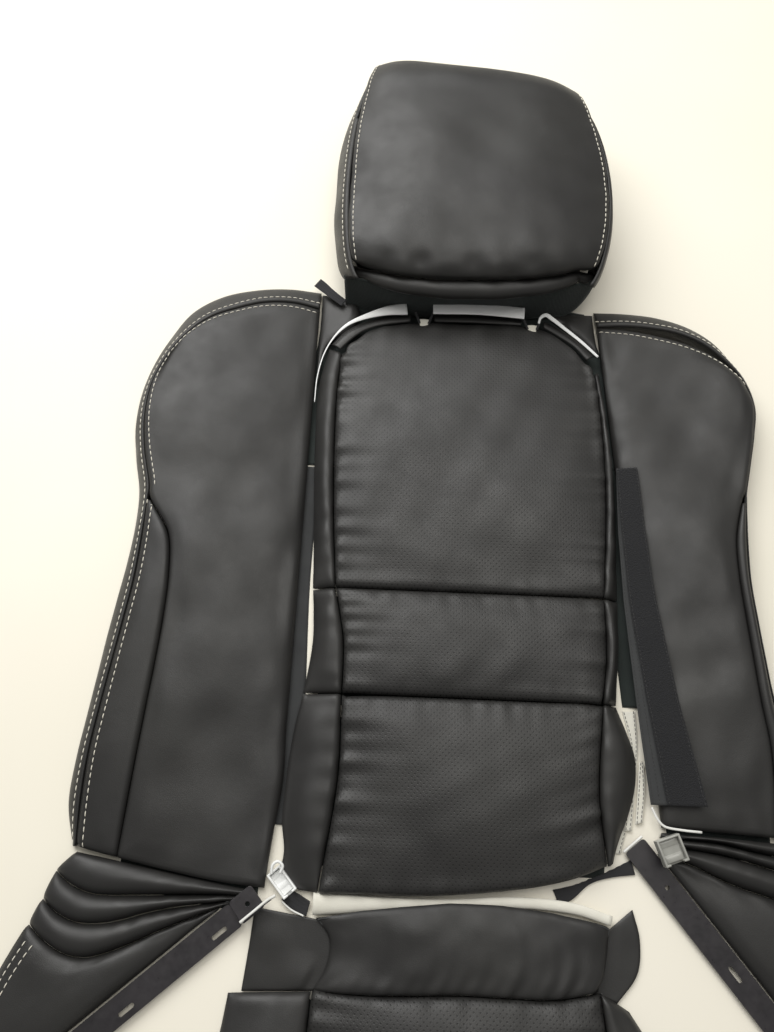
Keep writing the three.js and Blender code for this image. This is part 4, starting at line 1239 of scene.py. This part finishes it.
hard_rod("strip_edge_left", [(-149.5, -62.5, 15), (-156, -66.5, 15.4), (-166, -75, 15.4), (-175.5, -83, 15)],
         1.2, CORE, BODY_OF_NODE["strip_tab_left"])
hard_rod("strip_edge_left_inner", [(-152.5, -65.5, 16), (-159, -70.6, 16.4), (-172, -81.6, 16.2)], 0.45,
         STRIP, BODY_OF_NODE["strip_tab_left"])
hard_rod("strip_edge_right", [(129.6, -19.2, 5.4), (137.2, -13, 5.4), (145.2, -6.6, 5.4)], 1.1, CORE,
         BODY_OF_NODE["fastening_strip_right"])
hard_rod("clip_left_hoop",
         [(-154, -47, 15), (-153.5, -40.5, 16.4), (-149.5, -37.5, 17), (-145.5, -40.5, 16.4),
          (-147, -46, 15)], 1.2, CLIP, BODY_OF_NODE["clip_left"])

# ---------------------------------------------------------------- elastics and ribbon


def add_elastic(node, south, north, arch):
    """A ribbed woven band between two lay lines, arched up along its middle."""
    band = Surface(ruled(south, north, 1.0 * MM))
    run = band.side["w"] / np.maximum(band.side["w"] + band.side["e"], 1e-6)
    band.points[..., 2] += arch * MM * np.sin(math.pi * run)
    band.push(0.16 * MM * np.sin(band.side["s"] * (2 * math.pi / (1.7 * MM))))
    add_cloth(node + ".skin", band.points, "ribbon", "root", 0.9 * MM, node=node)


add_elastic("elastic_left", [(-146, -66, 3.4), (-137, -72.5, 3.4), (-125, -77.5, 3.4)],
            [(-138, -58.5, 3.4), (-131, -62, 3.4), (-122.5, -66.5, 3.4)], 0.6)
hard_rod("elastic_edge_left", [(-145, -67.6, 5), (-137, -73.2, 5), (-127, -77.2, 5)], 0.7, CORE, "root")
add_elastic("pull_ribbon",
            [(77, -62, 1.7), (88, -56, 1.7), (102, -44.5, 1.7), (119, -39, 1.7), (139, -36, 1.7)],
            [(72, -50, 1.7), (88, -46, 1.7), (104, -40, 1.7), (119, -33.5, 1.7), (136, -25, 1.7)],
            0.4)

# ---------------------------------------------------------------- cushion's tail flaps and rod


def tail_flap(node, west, east, seed):
    panel = Surface(ruled_up(west, east, 2 * MM))
    under = "e" if node.endswith("left") else "w"
    panel.hills(0.9 * MM, 0.035, seed, keep_edges=False)
    panel.points[..., 2] = np.maximum(panel.points[..., 2], 2.2 * MM)
    low = smooth(1 - (panel.side[under] - 8 * MM) / (10 * MM))
    panel.points[..., 2] += (2.1 * MM - panel.points[..., 2]) * low
    for side in "ns" + ("w" if under == "e" else "e"):
        panel.roll(side, 0.9 * MM, 3 * MM)
    leather_piece(node, panel)


tail_flap("tail_flap_left", [(-171.5, -132, 3), (-168.5, -100, 3.6), (-166.5, -72.5, 3)],
          [(-112, -129.5, 2.2), (-99, -101, 2.2), (-112, -80, 2.2)], 501)
tail_flap("tail_flap_right", [(100, -122.5, 2.2), (106, -97, 2.2), (111, -81, 2.2)],
          [(119, -129, 3), (136, -108, 3.4), (139.5, -84, 3.6), (135, -62, 3)], 502)
listing("cushion_rod.skin",
        [(-120, -67.5, 5.4), (-95, -67, 5.6), (-66, -66, 5.6), (-12, -64.5, 5.6), (39, -60.5, 5.6),
         (85, -62.5, 5.6), (117, -70.5, 5.6)], [8.6, 7.2, 5.2, 4.4, 4.2, 4.2, 3.8], 0.55, "cushion_rod",
        BODY_OF_NODE["cushion_rod"], LISTING)

# ---------------------------------------------------------------- CAD nodes that stay

for node, thing in frame["nodes"].items():
    finish_of_node = FINISH_OF_SLOT[SLOT_OF_NODE[node]]
    for place in thing.material_slots:
        place.material = finish_of_node

# ---------------------------------------------------------------- floor and light


def add_floor():
    bpy.ops.mesh.primitive_plane_add(size=14)
    floor = bpy.context.active_object
    floor.name = "floor"
    floor.data.materials.append(floor_material())


def add_light(name, place, aim, size, power, colour=(1, 1, 1)):
    data = bpy.data.lights.new(name, "AREA")
    data.shape = "DISK"
    data.size = size
    data.energy = power
    data.color = colour
    light = bpy.data.objects.new(name, data)
    bpy.context.scene.collection.objects.link(light)
    light.location = place
    light.rotation_euler = (Vector(aim) - Vector(place)).to_track_quat("-Z", "Y").to_euler()


add_floor()
add_light("window", (-1.0, 1.7, 1.6), (-0.1, 0.35, 0), 2.2, 60, (1.0, 0.995, 0.98))
add_light("ceiling", (0.25, 0.55, 1.9), (0.05, 0.4, 0), 1.2, 13, (1.0, 0.98, 0.93))
world = bpy.data.worlds.new("room")
world.use_nodes = True
world.node_tree.nodes["Background"].inputs["Color"].default_value = (1, 0.985, 0.95, 1)
world.node_tree.nodes["Background"].inputs["Strength"].default_value = 0.34
bpy.context.scene.world = world
bpy.context.scene.view_settings.view_transform = "Standard"
